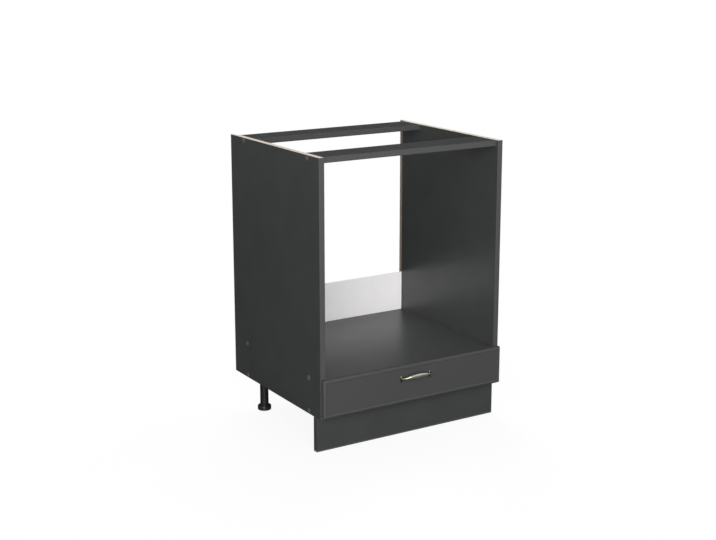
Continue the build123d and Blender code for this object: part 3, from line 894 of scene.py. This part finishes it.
@dataclass(frozen=True)
class CrossScrew:
    """Visible head of a screw: a low dome with a cross recess."""

    radius: float
    height: float
    rim_share: float = 0.35
    recess_width: float = 0.16
    recess_reach: float = 0.56
    recess_depth: float = 0.72
    steps: int = 5

    def mesh(self) -> bpy.types.Mesh:
        """Build the head, seated on zero with its dome towards +Z."""
        rise = 1 - self.rim_share
        dome = [
            (self.radius * math.cos(turn), self.height * (self.rim_share + rise * math.sin(turn)))
            for turn in quarter(self.steps)[:-1]
        ]
        head = turned([(0.0, 0.0), (self.radius, 0.0), *dome, (0.0, self.height)])
        cutter = bmesh.new()
        reach, width = 2 * self.radius * self.recess_reach, 2 * self.radius * self.recess_width
        for size in ((reach, width), (width, reach)):
            slot = bmesh.ops.create_cube(cutter, size=1.0)["verts"]
            bmesh.ops.scale(cutter, vec=(*size, 2 * self.height), verts=slot)
            bmesh.ops.translate(cutter, vec=(0.0, 0.0, self.height * (2 - self.recess_depth)), verts=slot)
        return combined(head, from_bmesh(cutter), Combine.CUT)

    def drive(self, name: str, places: Iterable[Matrix], zinc: bpy.types.Material, body: Body) -> None:
        """Put heads at several places, as one piece of zinc-plated steel."""
        piece(name, gathered(self.mesh(), places), zinc, body)


class Carcass:
    """Side panels, cross boards, back board and the fittings that hold them."""

    BOARD_TONE = colour(58, 60, 59)
    # Painted light: the shelf's melamine drawn paler than the same board elsewhere, to light it inside the
    # niche.
    SHELF_PAINTED_LIGHT_TONE = colour(64, 66, 65)
    SHELF_GLOSS = 0.4
    SHELF_ROUGHNESS = 0.34
    BAND_TONE = colour(71, 72, 71)
    COVER_TONE = colour(84, 85, 84)
    SIDE_NODES = ("left_side_panel", "right_side_panel")
    CROSS_NODES = ("bottom_panel", "oven_shelf", "front_stretcher", "rear_stretcher")

    @dataclass(frozen=True)
    class Sizes:
        """Sizes of the carcass's small fittings."""

        rabbet_depth: float = 8.0 * MM
        cover_radius: float = 7.0 * MM
        cover_height: float = 0.8 * MM
        cover_round: float = 0.5 * MM
        cover_steps: int = 4
        joint_head_radius: float = 5.0 * MM
        back_screw: CrossScrew = CrossScrew(3.6 * MM, 1.9 * MM)
        back_screw_pitch: float = 150.0 * MM
        back_screw_count: int = 4

    def __init__(self) -> None:
        """Read where the carcass's boards stand."""
        self.sizes = self.Sizes()
        self.side = Extent.of("right_side_panel")
        self.cross = {node: Extent.of(node) for node in self.CROSS_NODES}
        self.back = Extent.of("back_board")
        self.joints = Extent.of("connecting_screws")

    def dress(self) -> None:
        """Give every board its finish; the shelf is duller than the rest, and paler by painted light on the
        same melamine.
        """
        rear_cut = Limit(Axis.Y, self.side.high.y - SKIN)
        rabbet = (
            Limit(Axis.Y, self.back.low.y - SKIN),
            Limit(Axis.ACROSS, self.side.low.x + self.sizes.rabbet_depth + SKIN, beyond=False),
        )
        side_cuts = (
            (Limit(Axis.Z, self.side.high.z - SKIN),),
            (Limit(Axis.Z, self.side.low.z + SKIN, beyond=False),),
            (rear_cut,),
            rabbet,
        )
        # The rabbet's floor gets painted shade on its bare chips.
        shaded_rabbet_floor = (*rabbet, replace(rear_cut, beyond=False))
        dress(self.SIDE_NODES, Melamine("side_melamine", self.BOARD_TONE, side_cuts, shaded_rabbet_floor).make())
        for node, extent in self.cross.items():
            finish = Melamine(f"{node}_melamine", self.BOARD_TONE, ((Limit(Axis.Y, extent.high.y - SKIN),),))
            # The shelf gets a paler copy of the board tone as painted light, and its own gloss and
            # roughness.
            if node == "oven_shelf":
                shelf = {"gloss": self.SHELF_GLOSS, "roughness": self.SHELF_ROUGHNESS}
                finish = replace(finish, face=self.SHELF_PAINTED_LIGHT_TONE, **shelf)
            dress([node], finish.make())
        dress(["side_edging", "cross_edging"], EdgeBand("carcass_edge_band", self.BAND_TONE).make())
        dress(["back_board"], Hardboard("back_hardboard", (Limit(Axis.Y, self.back.high.y - SKIN),)).make())
        dress(["connecting_screws"], ZincPlate("joint_screw_zinc").make())
        dress(["carcass_dowels"], Beech("carcass_beech", (0.06, 1.0, 1.0)).make())

    def build(self) -> None:
        """Add the screw covers and the back board's screws."""
        self._covers()
        self._back_screws()

    def _covers(self) -> None:
        """Press-in covers over the connecting screws, with a rounded rim."""
        s = self.sizes
        rim = [
            (
                s.cover_radius - s.cover_round * (1 - math.cos(turn)),
                s.cover_height - s.cover_round * (1 - math.sin(turn)),
            )
            for turn in quarter(s.cover_steps)
        ]
        cover = turned([(0.0, 0.0), (s.cover_radius, 0.0), *rim, (0.0, s.cover_height)])
        rows = (self.joints.low.y + s.joint_head_radius, self.joints.high.y - s.joint_head_radius)
        spots = [(y, self.cross[node].mid.z) for y in rows for node in self.CROSS_NODES[:3]]
        covers = gathered(cover, on_both_sides(self.side.high.x, spots))
        finish = MouldedPlastic("cover_plastic", self.COVER_TONE).make()
        piece("screw_covers", covers, finish, Body.CARCASS)

    def _back_screws(self) -> None:
        """Screws that hold the back board to the bottom and the shelf."""
        s = self.sizes
        start = -(s.back_screw_count - 1) / 2 * s.back_screw_pitch
        spots = [
            Vector((start + step * s.back_screw_pitch, self.back.high.y, self.cross[node].mid.z))
            for node in self.CROSS_NODES[:2]
            for step in range(s.back_screw_count)
        ]
        zinc = ZincPlate("back_screw_zinc").make()
        places = [outward(spot, REARWARD) for spot in spots]
        s.back_screw.drive("back_board_screws", places, zinc, Body.CARCASS)


class Legs:
    """Four adjustable legs: plates with collars, tubes and screw feet."""

    TONE = colour(24, 24, 25)

    @dataclass(frozen=True)
    class Sizes:
        """Sizes of the details that the legs' moulding carries."""

        plate_thickness: float = 4.0 * MM
        screw: CrossScrew = CrossScrew(3.6 * MM, 1.9 * MM)
        screw_pitch: float = 36.0 * MM
        rib_thickness: float = 1.8 * MM
        rib_start: float = 14.0 * MM
        rib_reach: float = 22.0 * MM
        rib_height: float = 9.0 * MM
        thread_radius: float = 10.0 * MM
        thread_depth: float = 0.8 * MM
        thread_pitch: float = 3.0 * MM
        thread_steps: int = 6
        thread_start: float = 10.0 * MM
        grip_count: int = 12
        grip_radius: float = 20.3 * MM
        grip_depth: float = 0.9 * MM
        rim_low: float = 0.8 * MM
        rim_high: float = 11.6 * MM
        rim_round: float = 1.6 * MM
        cup_radius: float = 12.9 * MM
        segments: int = 72

    def __init__(self) -> None:
        """Read where the legs stand."""
        self.sizes = self.Sizes()
        self.names = [f"{row}_{side}" for row in ROWS for side in SIDES]
        self.plates = [Extent.of(f"leg_plate_{name}") for name in self.names]
        self.feet = {name: Extent.of(f"leg_foot_{name}") for name in self.names}

    def dress(self) -> None:
        """Give plates and tubes their black plastic."""
        finish = MouldedPlastic("leg_plastic", self.TONE).make()
        dress([f"leg_{kind}_{name}" for kind in ("plate", "tube") for name in self.names], finish)

    def build(self) -> None:
        """Add the plates' ribs and screws, and the threaded feet."""
        s = self.sizes
        finish = MouldedPlastic("leg_detail_plastic", self.TONE).make()
        undersides = [Vector((*plate.mid.xy, plate.high.z - s.plate_thickness)) for plate in self.plates]
        turns = [Matrix.Rotation(QUARTER_TURN * step, 4, "Z") for step in range(4)]
        ribs = [Matrix.Translation(middle) @ turn for middle in undersides for turn in turns]
        piece("leg_plate_ribs", gathered(self._rib(), ribs), finish, Body.CARCASS)
        half = s.screw_pitch / 2
        corners = [Vector((x, y, 0.0)) for x in (-half, half) for y in (-half, half)]
        screws = [outward(middle + corner, DOWN) for middle in undersides for corner in corners]
        s.screw.drive("leg_plate_screws", screws, ZincPlate("leg_screw_zinc").make(), Body.CARCASS)
        foot = self._foot()
        for name, plain in self.feet.items():
            node = f"leg_foot_{name}"
            placed = gathered(foot, [Matrix.Translation((*plain.mid.xy, plain.low.z))])
            made = piece(f"threaded_foot_{name}", placed, finish, Body(node))
            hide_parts(node)

    def _rib(self) -> bpy.types.Mesh:
        """Triangular rib between a plate's underside and its collar."""
        s = self.sizes
        profile = [(s.rib_start, 0.0), (s.rib_reach, 0.0), (s.rib_start, -s.rib_height)]
        return skinned([(x, side * s.rib_thickness / 2, z) for x, z in profile] for side in SIDES.values())

    def _foot(self) -> bpy.types.Mesh:
        """Foot with finger grips round its rim, a cup for the tube's end and a threaded spindle."""
        s = self.sizes
        cup_height = s.rim_high + s.rim_round
        levels = [
            (s.grip_radius - s.rim_low, 0.0, 0.0),
            (s.grip_radius, s.rim_low, s.grip_depth),
            (s.grip_radius, s.rim_high, s.grip_depth),
            (s.grip_radius - s.rim_round, cup_height, 0.0),
            (s.cup_radius, cup_height, 0.0),
            (s.cup_radius, s.thread_start, 0.0),
        ]
        dents = [max(0.0, math.cos(turn * s.grip_count)) ** 2 for turn in angles(s.segments)]
        outlines = [ring([radius - depth * dent for dent in dents], z) for radius, z, depth in levels]
        length = self.feet[self.names[0]].size.z - s.thread_start
        for share in shares(int(length / (s.thread_pitch / s.thread_steps))):
            height = s.thread_start + length * share
            phases = [(height / s.thread_pitch - step / s.segments) % 1.0 for step in range(s.segments)]
            radii = [s.thread_radius - s.thread_depth * abs(2 * phase - 1) for phase in phases]
            outlines.append(ring(radii, height))
        return skinned(outlines)


class Plinth:
    """Plinth panel and the clips that hold it to the front legs."""

    TONE = colour(60, 62, 61)

    @dataclass(frozen=True)
    class Sizes:
        """Sizes of the clips' fastening."""

        base_thickness: float = 3.0 * MM
        screw: CrossScrew = CrossScrew(3.4 * MM, 1.8 * MM)
        screw_reach: float = 15.0 * MM

    def __init__(self) -> None:
        """Read where the panel and its clips stand."""
        self.sizes = self.Sizes()
        self.clips = {node: Extent.of(node) for node in (f"plinth_clip_{side}" for side in SIDES)}
        self.panel = Extent.of("plinth_panel")

    def dress(self) -> None:
        """Give the panel its foil and the clips their plastic."""
        lower_edge = ((Limit(Axis.Z, self.panel.low.z + SKIN, beyond=False),),)
        dress(["plinth_panel"], Melamine("plinth_foil", self.TONE, lower_edge).make())
        dress(self.clips, MouldedPlastic("clip_plastic", Legs.TONE).make())

    def build(self) -> None:
        """Add the clips' screws."""
        s = self.sizes
        face_y = self.panel.high.y + s.base_thickness
        places = [
            outward(Vector((clip.mid.x + offset, face_y, clip.mid.z)), REARWARD)
            for clip in self.clips.values()
            for offset in (-s.screw_reach, s.screw_reach)
        ]
        s.screw.drive("plinth_clip_screws", places, ZincPlate("clip_screw_zinc").make(), Body.CARCASS)


class Runners:
    """Roller runners: channels on the carcass, strips on the drawer and their rollers."""

    NYLON_TONE = colour(226, 224, 214)
    NYLON_ROUGHNESS = 0.35

    @dataclass(frozen=True)
    class Sizes:
        """Sizes of the runners' screws, and their places from the ends of the channel."""

        steel: float = 1.2 * MM
        front_reach: float = 37.0 * MM
        rear_reach: float = 29.0 * MM
        channel_screw: CrossScrew = CrossScrew(4.2 * MM, 1.3 * MM)
        strip_screw: CrossScrew = CrossScrew(3.2 * MM, 1.2 * MM)

    def __init__(self) -> None:
        """Read where the runners stand."""
        self.sizes = self.Sizes()
        self.channel = Extent.of("cabinet_runner_right")
        self.drawer_side = Extent.of("drawer_side_right")

    def dress(self) -> None:
        """Give the steel, the rollers and the axles their finishes."""
        coat = PowderCoat("runner_powder_coat").make()
        dress([f"{kind}_runner_{side}" for kind in ("cabinet", "drawer") for side in SIDES], coat)
        nylon = MouldedPlastic("roller_nylon", self.NYLON_TONE, self.NYLON_ROUGHNESS).make()
        dress([f"{row}_roller_{side}" for row in ROWS for side in SIDES], nylon)
        dress([f"{row}_roller_axles" for row in ROWS], ZincPlate("axle_zinc").make())

    def build(self) -> None:
        """Add the screws of the channels and of the drawer's strips."""
        s = self.sizes
        front, rear = self.channel.low.y + s.front_reach, self.channel.high.y - s.rear_reach
        spots = [(y, self.channel.mid.z) for y in (front, (front + rear) / 2, rear)]
        zinc = ZincPlate("runner_screw_zinc").make()
        in_channels = on_both_sides(self.channel.high.x - s.steel, spots, way=-1)
        s.channel_screw.drive("runner_screws", in_channels, zinc, Body.CARCASS)
        in_strips = on_both_sides(self.drawer_side.high.x + s.steel, spots[:2])
        s.strip_screw.drive("drawer_runner_screws", in_strips, zinc, Body.DRAWER)


class Drawer:
    """Drawer box with its profiled front and fittings."""

    FRONT_TONE = colour(65, 65, 65)

    @dataclass(frozen=True)
    class Sizes:
        """Sizes of the front's milled profile, whose lips reach past the plain front, and of the screws."""

        lip_above: float = 5.0 * MM
        lip_below: float = 1.0 * MM
        edge_round: float = 6.0 * MM
        edge_corner: float = 0.6 * MM
        rim_width: float = 6.6 * MM
        slope_width: float = 3.6 * MM
        field_depth: float = 1.0 * MM
        field_corner: float = 4.0 * MM
        hold: float = 0.3 * MM
        steps: int = 8
        screw: CrossScrew = CrossScrew(3.4 * MM, 0.9 * MM)
        back_screw_drops: tuple[float, float] = (10.0 * MM, 30.0 * MM)
        bottom_screw_share: float = 2 / 3

    def __init__(self) -> None:
        """Read where the drawer's boards stand."""
        self.sizes = self.Sizes()
        self.front = Extent.of("drawer_front")
        self.side = Extent.of("drawer_side_right")
        self.back = Extent.of("drawer_back")
        self.bottom = Extent.of("drawer_bottom")

    def dress(self) -> None:
        """Give every board and fitting of the drawer its finish."""
        dress(["drawer_front"], MattFoil("front_foil", self.FRONT_TONE).make())
        rear_end = (Limit(Axis.Y, self.side.high.y - SKIN),)
        front_end = (Limit(Axis.Y, self.side.low.y + SKIN, beyond=False),)
        side_foil = PaperFoil("drawer_side_foil", (rear_end, front_end)).make()
        dress(["drawer_side_left", "drawer_side_right"], side_foil)
        dress(["drawer_back"], PaperFoil("drawer_back_foil").make())
        underside = (Limit(Axis.Z, self.bottom.low.z + SKIN, beyond=False),)
        dress(["drawer_bottom"], Hardboard("drawer_hardboard", underside).make())
        dress(["cam_locks", "cam_bolts", "handle_screws"], ZincPlate("fitting_zinc").make())
        dress(["drawer_dowels"], Beech("drawer_beech", (1.0, 0.06, 1.0)).make())
        dress(["front_bumpers"], SoftDot("stop_dot_plastic").make())

    def build(self) -> None:
        """Add the milled front and the screws of the drawer's back and bottom."""
        s = self.sizes
        foil = MattFoil("milled_front_foil", self.FRONT_TONE).make()
        made = piece("milled_drawer_front", self._milled_front(), foil, Body.DRAWER)
        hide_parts("drawer_front")
        back_y = self.back.mid.y
        zinc = ZincPlate("drawer_screw_zinc").make()
        spots = [(back_y, self.back.high.z - drop) for drop in s.back_screw_drops]
        s.screw.drive("drawer_back_screws", on_both_sides(self.side.high.x, spots), zinc, Body.DRAWER)
        reach = self.bottom.high.x * s.bottom_screw_share
        below = [outward(Vector((x, back_y, self.bottom.low.z)), DOWN) for x in (-reach, 0.0, reach)]
        s.screw.drive("drawer_bottom_screws", below, zinc, Body.DRAWER)

    def _milled_front(self) -> bpy.types.Mesh:
        """Front with a rounded outer edge, a flat rim and a soft milled slope down to its field."""
        s = self.sizes
        rim = s.edge_round + s.hold
        field = s.rim_width + s.slope_width
        profile = [(0.0, self.front.size.y), (0.0, rim)]
        for turn in quarter(s.steps):
            profile.append((s.edge_round * (1 - math.cos(turn)), s.edge_round * (1 - math.sin(turn))))
        profile += [(rim, 0.0), (s.rim_width - s.hold, 0.0)]
        for way in shares(s.steps):
            fall = (1 - math.cos(math.pi * way)) / 2
            profile.append((s.rim_width + s.slope_width * way, s.field_depth * fall))
        profile.append((field + s.hold, s.field_depth))
        outlines = []
        for inset, depth in profile:
            corner = s.field_corner + max(0.0, field - inset) if inset > rim else s.edge_corner
            outlines.append(self._outline(inset, depth, corner))
        return skinned(outlines)

    def _outline(self, inset: float, depth: float, corner: float) -> list[Point]:
        """Build one outline of the front, a rectangle with rounded corners.

        Args:
            inset: Distance in from the front's edges.
            depth: Distance behind its foremost plane.
            corner: Radius of the corners.

        Returns:
            The outline's points.
        """
        s = self.sizes
        margin = inset + corner
        high = self.front.high + Vector((-margin, 0.0, s.lip_above - margin))
        low = self.front.low + Vector((margin, 0.0, margin - s.lip_below))
        middles = ((high.x, high.z), (low.x, high.z), (low.x, low.z), (high.x, low.z))
        y = self.front.low.y + depth
        return [
            (x + corner * math.cos(turn), y, z + corner * math.sin(turn))
            for corner_number, (x, z) in enumerate(middles)
            for turn in (QUARTER_TURN * (corner_number + share) for share in shares(s.steps))
        ]


class Handle:
    """Cast bow handle on the drawer front: domed oval plates and a bow that swells between thin necks."""

    @dataclass(frozen=True)
    class Sizes:
        """Sizes of the casting; the bow's sections are (half depth, half height)."""

        plate_width: float = 9.0 * MM
        plate_height: float = 21.0 * MM
        plate_rim: float = 0.9 * MM
        plate_crown: float = 3.2 * MM
        plate_steps: int = 10
        lift: float = 4.0 * MM
        bow_start: float = 0.7 * MM
        bow_reach: float = 20.0 * MM
        bow_rise: float = 7.0 * MM
        bow_square: float = 2.15
        root: tuple[float, float] = (3.9 * MM, 5.2 * MM)
        neck: tuple[float, float] = (2.2 * MM, 3.2 * MM)
        middle: tuple[float, float] = (3.6 * MM, 6.5 * MM)
        neck_place: float = 0.13
        steps: int = 72
        facets: int = 32

    def __init__(self) -> None:
        """Read where the handle stands, and make its aged plating."""
        self.sizes = self.Sizes()
        plain = Extent.of("bow_handle")
        self.seat_y = Extent.of("drawer_front").low.y + Drawer.Sizes().field_depth
        self.middle_z = plain.mid.z + self.sizes.lift
        self.half_pitch = (plain.size.x - self.sizes.plate_width) / 2
        self.plating = AgedBrass("handle_brass", plain.high.y, plain.low.y).make()

    def dress(self) -> None:
        """Give the plain handle the same plating as the cast one that stands for it."""
        dress(["bow_handle"], self.plating)

    def build(self) -> None:
        """Put the finely cast handle in the place of the plain one."""
        plates = bmesh.new()
        for side in SIDES.values():
            skin(plates, self._plate(side * self.half_pitch))
        mesh = combined(from_bmesh(plates), self._bow(), Combine.MELT)
        made = piece("cast_handle", mesh, self.plating, Body.DRAWER)
        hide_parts("bow_handle")

    def _plate(self, middle_x: float) -> list[list[Point]]:
        """Build the ovals of one domed plate, from its seat to its crown.

        Args:
            middle_x: Middle of the plate across the unit.

        Returns:
            The points of each oval.
        """
        s = self.sizes
        crown = s.plate_crown - s.plate_rim
        turns = quarter(s.plate_steps)[:-1]
        dome = [(math.cos(turn), s.plate_rim + crown * math.sin(turn)) for turn in turns]
        ovals = []
        for share, height in [(1.0, 0.0), *dome]:
            half_width, half_height = share * s.plate_width / 2, share * s.plate_height / 2
            y = self.seat_y - height
            ovals.append([
                (middle_x + half_width * math.cos(turn), y, self.middle_z + half_height * math.sin(turn))
                for turn in angles(s.facets)
            ])
        return ovals

    def _bow(self) -> bpy.types.Mesh:
        """Bow on a rounded-off arch, from one plate to the other."""
        s = self.sizes
        spots = [self._path(share) for share in shares(s.steps)]
        ovals = []
        for step, spot in enumerate(spots):
            ahead = spots[min(step + 1, s.steps)] - spots[max(step - 1, 0)]
            ahead.z = 0.0
            if step in (0, s.steps):
                ahead = Vector((0.0, -1.0 if step == 0 else 1.0, 0.0))
            across = ahead.normalized().cross(Vector((0.0, 0.0, 1.0)))
            depth, height = self._section(step / s.steps)
            ovals.append([
                spot + across * depth * math.cos(turn) + Vector((0.0, 0.0, height * math.sin(turn)))
                for turn in angles(s.facets)
            ])
        return skinned(ovals)

    def _path(self, share: float) -> Vector:
        """Point on the bow's middle line.

        Args:
            share: Way along the bow, from 0 to 1.

        Returns:
            The point.
        """
        s = self.sizes
        power = 2 / s.bow_square
        sine = max(0.0, math.sin(math.pi * share)) ** power
        cosine = math.cos(math.pi * share)
        across = -self.half_pitch * math.copysign(abs(cosine) ** power, cosine)
        reach = s.bow_start + (s.bow_reach - s.bow_start) * sine
        return Vector((across, self.seat_y - reach, self.middle_z + s.bow_rise * sine**2))

    def _section(self, share: float) -> tuple[float, float]:
        """Half depth and half height of the bow at one place.

        Args:
            share: Way along the bow, from 0 to 1.

        Returns:
            The two half sizes.
        """
        s = self.sizes
        way = min(share, 1 - share)
        if way < s.neck_place:
            first, second, part = s.root, s.neck, way / s.neck_place
        else:
            first, second, part = s.neck, s.middle, (way - s.neck_place) / (0.5 - s.neck_place)
        blend = (1 - math.cos(math.pi * part)) / 2
        return tuple(low + (high - low) * blend for low, high in zip(first, second))


@dataclass(frozen=True)
class Lamp:
    """One square soft light."""

    name: str
    place: tuple[float, float, float]
    aim: tuple[float, float, float]
    size: float
    power: float
    seen_in_gloss: bool = True

    def build(self) -> None:
        """Put the light in the scene."""
        light = bpy.data.lights.new(self.name, "AREA")
        light.size = self.size
        light.energy = self.power
        lamp = bpy.data.objects.new(self.name, light)
        bpy.context.scene.collection.objects.link(lamp)
        lamp.location = self.place
        direction = Vector(self.aim) - Vector(self.place)
        lamp.rotation_euler = direction.to_track_quat("-Z", "Y").to_euler()
        lamp.visible_glossy = self.seen_in_gloss


@dataclass(frozen=True)
class Flag:
    """One dark card beside the unit, which only glossy surfaces see, so that boards don't glare."""

    name: str
    place: tuple[float, float, float]
    aim: tuple[float, float, float]
    width: float
    height: float
    tone: float

    def build(self) -> None:
        """Stand the card in the scene."""
        shape = bmesh.new()
        bmesh.ops.create_grid(shape, x_segments=1, y_segments=1, size=0.5)
        bmesh.ops.scale(shape, vec=(self.width, self.height, 1.0), verts=shape.verts)
        mesh = from_bmesh(shape)
        glow = {"Emission_Color": WHITE, "Emission_Strength": self.tone}
        mesh.materials.append(Paint(self.name).surface(Base_Color=BLACK, Specular_Level=0.0, **glow))
        card = bpy.data.objects.new(self.name, mesh)
        bpy.context.scene.collection.objects.link(card)
        card.location = self.place
        card.rotation_euler = (Vector(self.aim) - Vector(self.place)).to_track_quat("Z", "Y").to_euler()
        for way in ("camera", "diffuse", "transmission", "shadow", "volume_scatter"):
            setattr(card, f"visible_{way}", False)


@dataclass(frozen=True)
class Studio:
    """Camera, lights, pale floor and white surroundings."""

    eye: tuple[float, float, float] = (-1.99970, -3.16620, 1.37391)
    yaw: float = 0.55522
    pitch: float = 0.22988
    lens: float = 66.471
    film: float = 36.0
    rise: float = -0.0307
    floor_size: float = 24.0
    floor_keep: float = 0.09
    floor_tone: float = 0.88
    floor_bounce: float = 0.35
    floor_fade: tuple[float, float] = (0.7, 1.8)
    ambient: float = 0.35
    lamps: tuple[Lamp, ...] = (
        Lamp("front_softbox", (-2.0, -3.7, 1.35), (0.0, 0.0, 0.4), 3.0, 199.0),
        Lamp("left_softbox", (-4.0, -1.8, 2.0), (0.0, 0.0, 0.4), 2.0, 43.0),
        Lamp("rear_softbox", (1.0, 3.0, 3.2), (0.0, 0.0, 0.5), 2.4, 120.0, seen_in_gloss=False),
        Lamp("right_softbox", (3.7, 0.6, 1.8), (0.0, 0.0, 0.4), 2.0, 55.0, seen_in_gloss=False),
    )
    flags: tuple[Flag, ...] = (
        Flag("rear_flag", (1.2, 2.6, 1.2), (0.0, 0.0, 1.0), 7.0, 4.0, 0.04),
        Flag("left_flag", (-3.0, 2.2, 0.9), (0.0, 0.0, 0.9), 5.0, 3.0, 0.1),
        Flag("left_floor_flag", (-2.2, 1.4, 0.004), (-2.2, 1.4, 1.0), 6.0, 7.0, 0.0),
        Flag("front_floor_flag", (1.2, -2.4, 0.004), (1.2, -2.4, 1.0), 4.4, 4.34, 0.06),
    )

    def build(self) -> None:
        """Build the whole studio."""
        self._camera()
        self._world()
        self._floor()
        for stand in (*self.lamps, *self.flags):
            stand.build()
        bpy.context.scene.view_settings.view_transform = "Standard"

    def _camera(self) -> None:
        """Stand the camera where the unit is seen from the front left and a little above."""
        lens = bpy.data.cameras.new("camera")
        lens.lens = self.lens
        lens.sensor_width = self.film
        lens.shift_y = self.rise
        camera = bpy.data.objects.new("camera", lens)
        bpy.context.scene.collection.objects.link(camera)
        camera.location = self.eye
        camera.rotation_euler = (QUARTER_TURN - self.pitch, 0.0, -self.yaw)
        bpy.context.scene.camera = camera

    def _world(self) -> None:
        """Surround the unit with white, dimmer where it only lights."""
        world = bpy.data.worlds.new("surroundings")
        bpy.context.scene.world = world
        world.use_nodes = True
        nodes = Nodes(world.node_tree)
        strength = nodes.spread(nodes.seen(), self.ambient, 1.0, 0.0, 1.0)
        nodes.feed(world.node_tree.nodes["Background"], {"Color": WHITE, "Strength": strength})

    def _floor(self) -> None:
        """Lay a pale floor that looks white and keeps a soft shadow round the unit."""
        shape = bmesh.new()
        bmesh.ops.create_grid(shape, x_segments=1, y_segments=1, size=self.floor_size / 2)
        mesh = from_bmesh(shape)
        paint = Paint("floor_paper")
        seen = paint.seen()
        tone = paint.mix(seen, (self.floor_bounce,) * 3, (self.floor_tone,) * 3)
        mesh.materials.append(paint.surface(Base_Color=tone, Roughness=0.9, Specular_Level=0.0))
        length = paint.add("ShaderNodeVectorMath", operation="LENGTH")
        far = paint.feed(length, {0: paint.place}).outputs["Value"]
        keep = paint.spread(far, self.floor_keep, 0.0, *self.floor_fade)
        share = paint.calc("MULTIPLY", seen, paint.calc("SUBTRACT", 1.0, keep))
        both = paint.feed(paint.add("ShaderNodeMixShader"), {0: share, 1: paint.shader.outputs[0]})
        paint.feed(both, {2: paint.add("ShaderNodeEmission").outputs[0]})
        paint.feed(paint.tree.nodes["Material Output"], {"Surface": both.outputs[0]})
        floor = bpy.data.objects.new("floor", mesh)
        bpy.context.scene.collection.objects.link(floor)


def main() -> None:
    """Build and dress the unit, then the studio."""
    logging.basicConfig(level=logging.INFO, format="%(message)s")
    for assembly in (Carcass(), Legs(), Plinth(), Runners(), Drawer(), Handle()):
        assembly.dress()
        assembly.build()
    Studio().build()


if __name__ == "__main__":
    main()
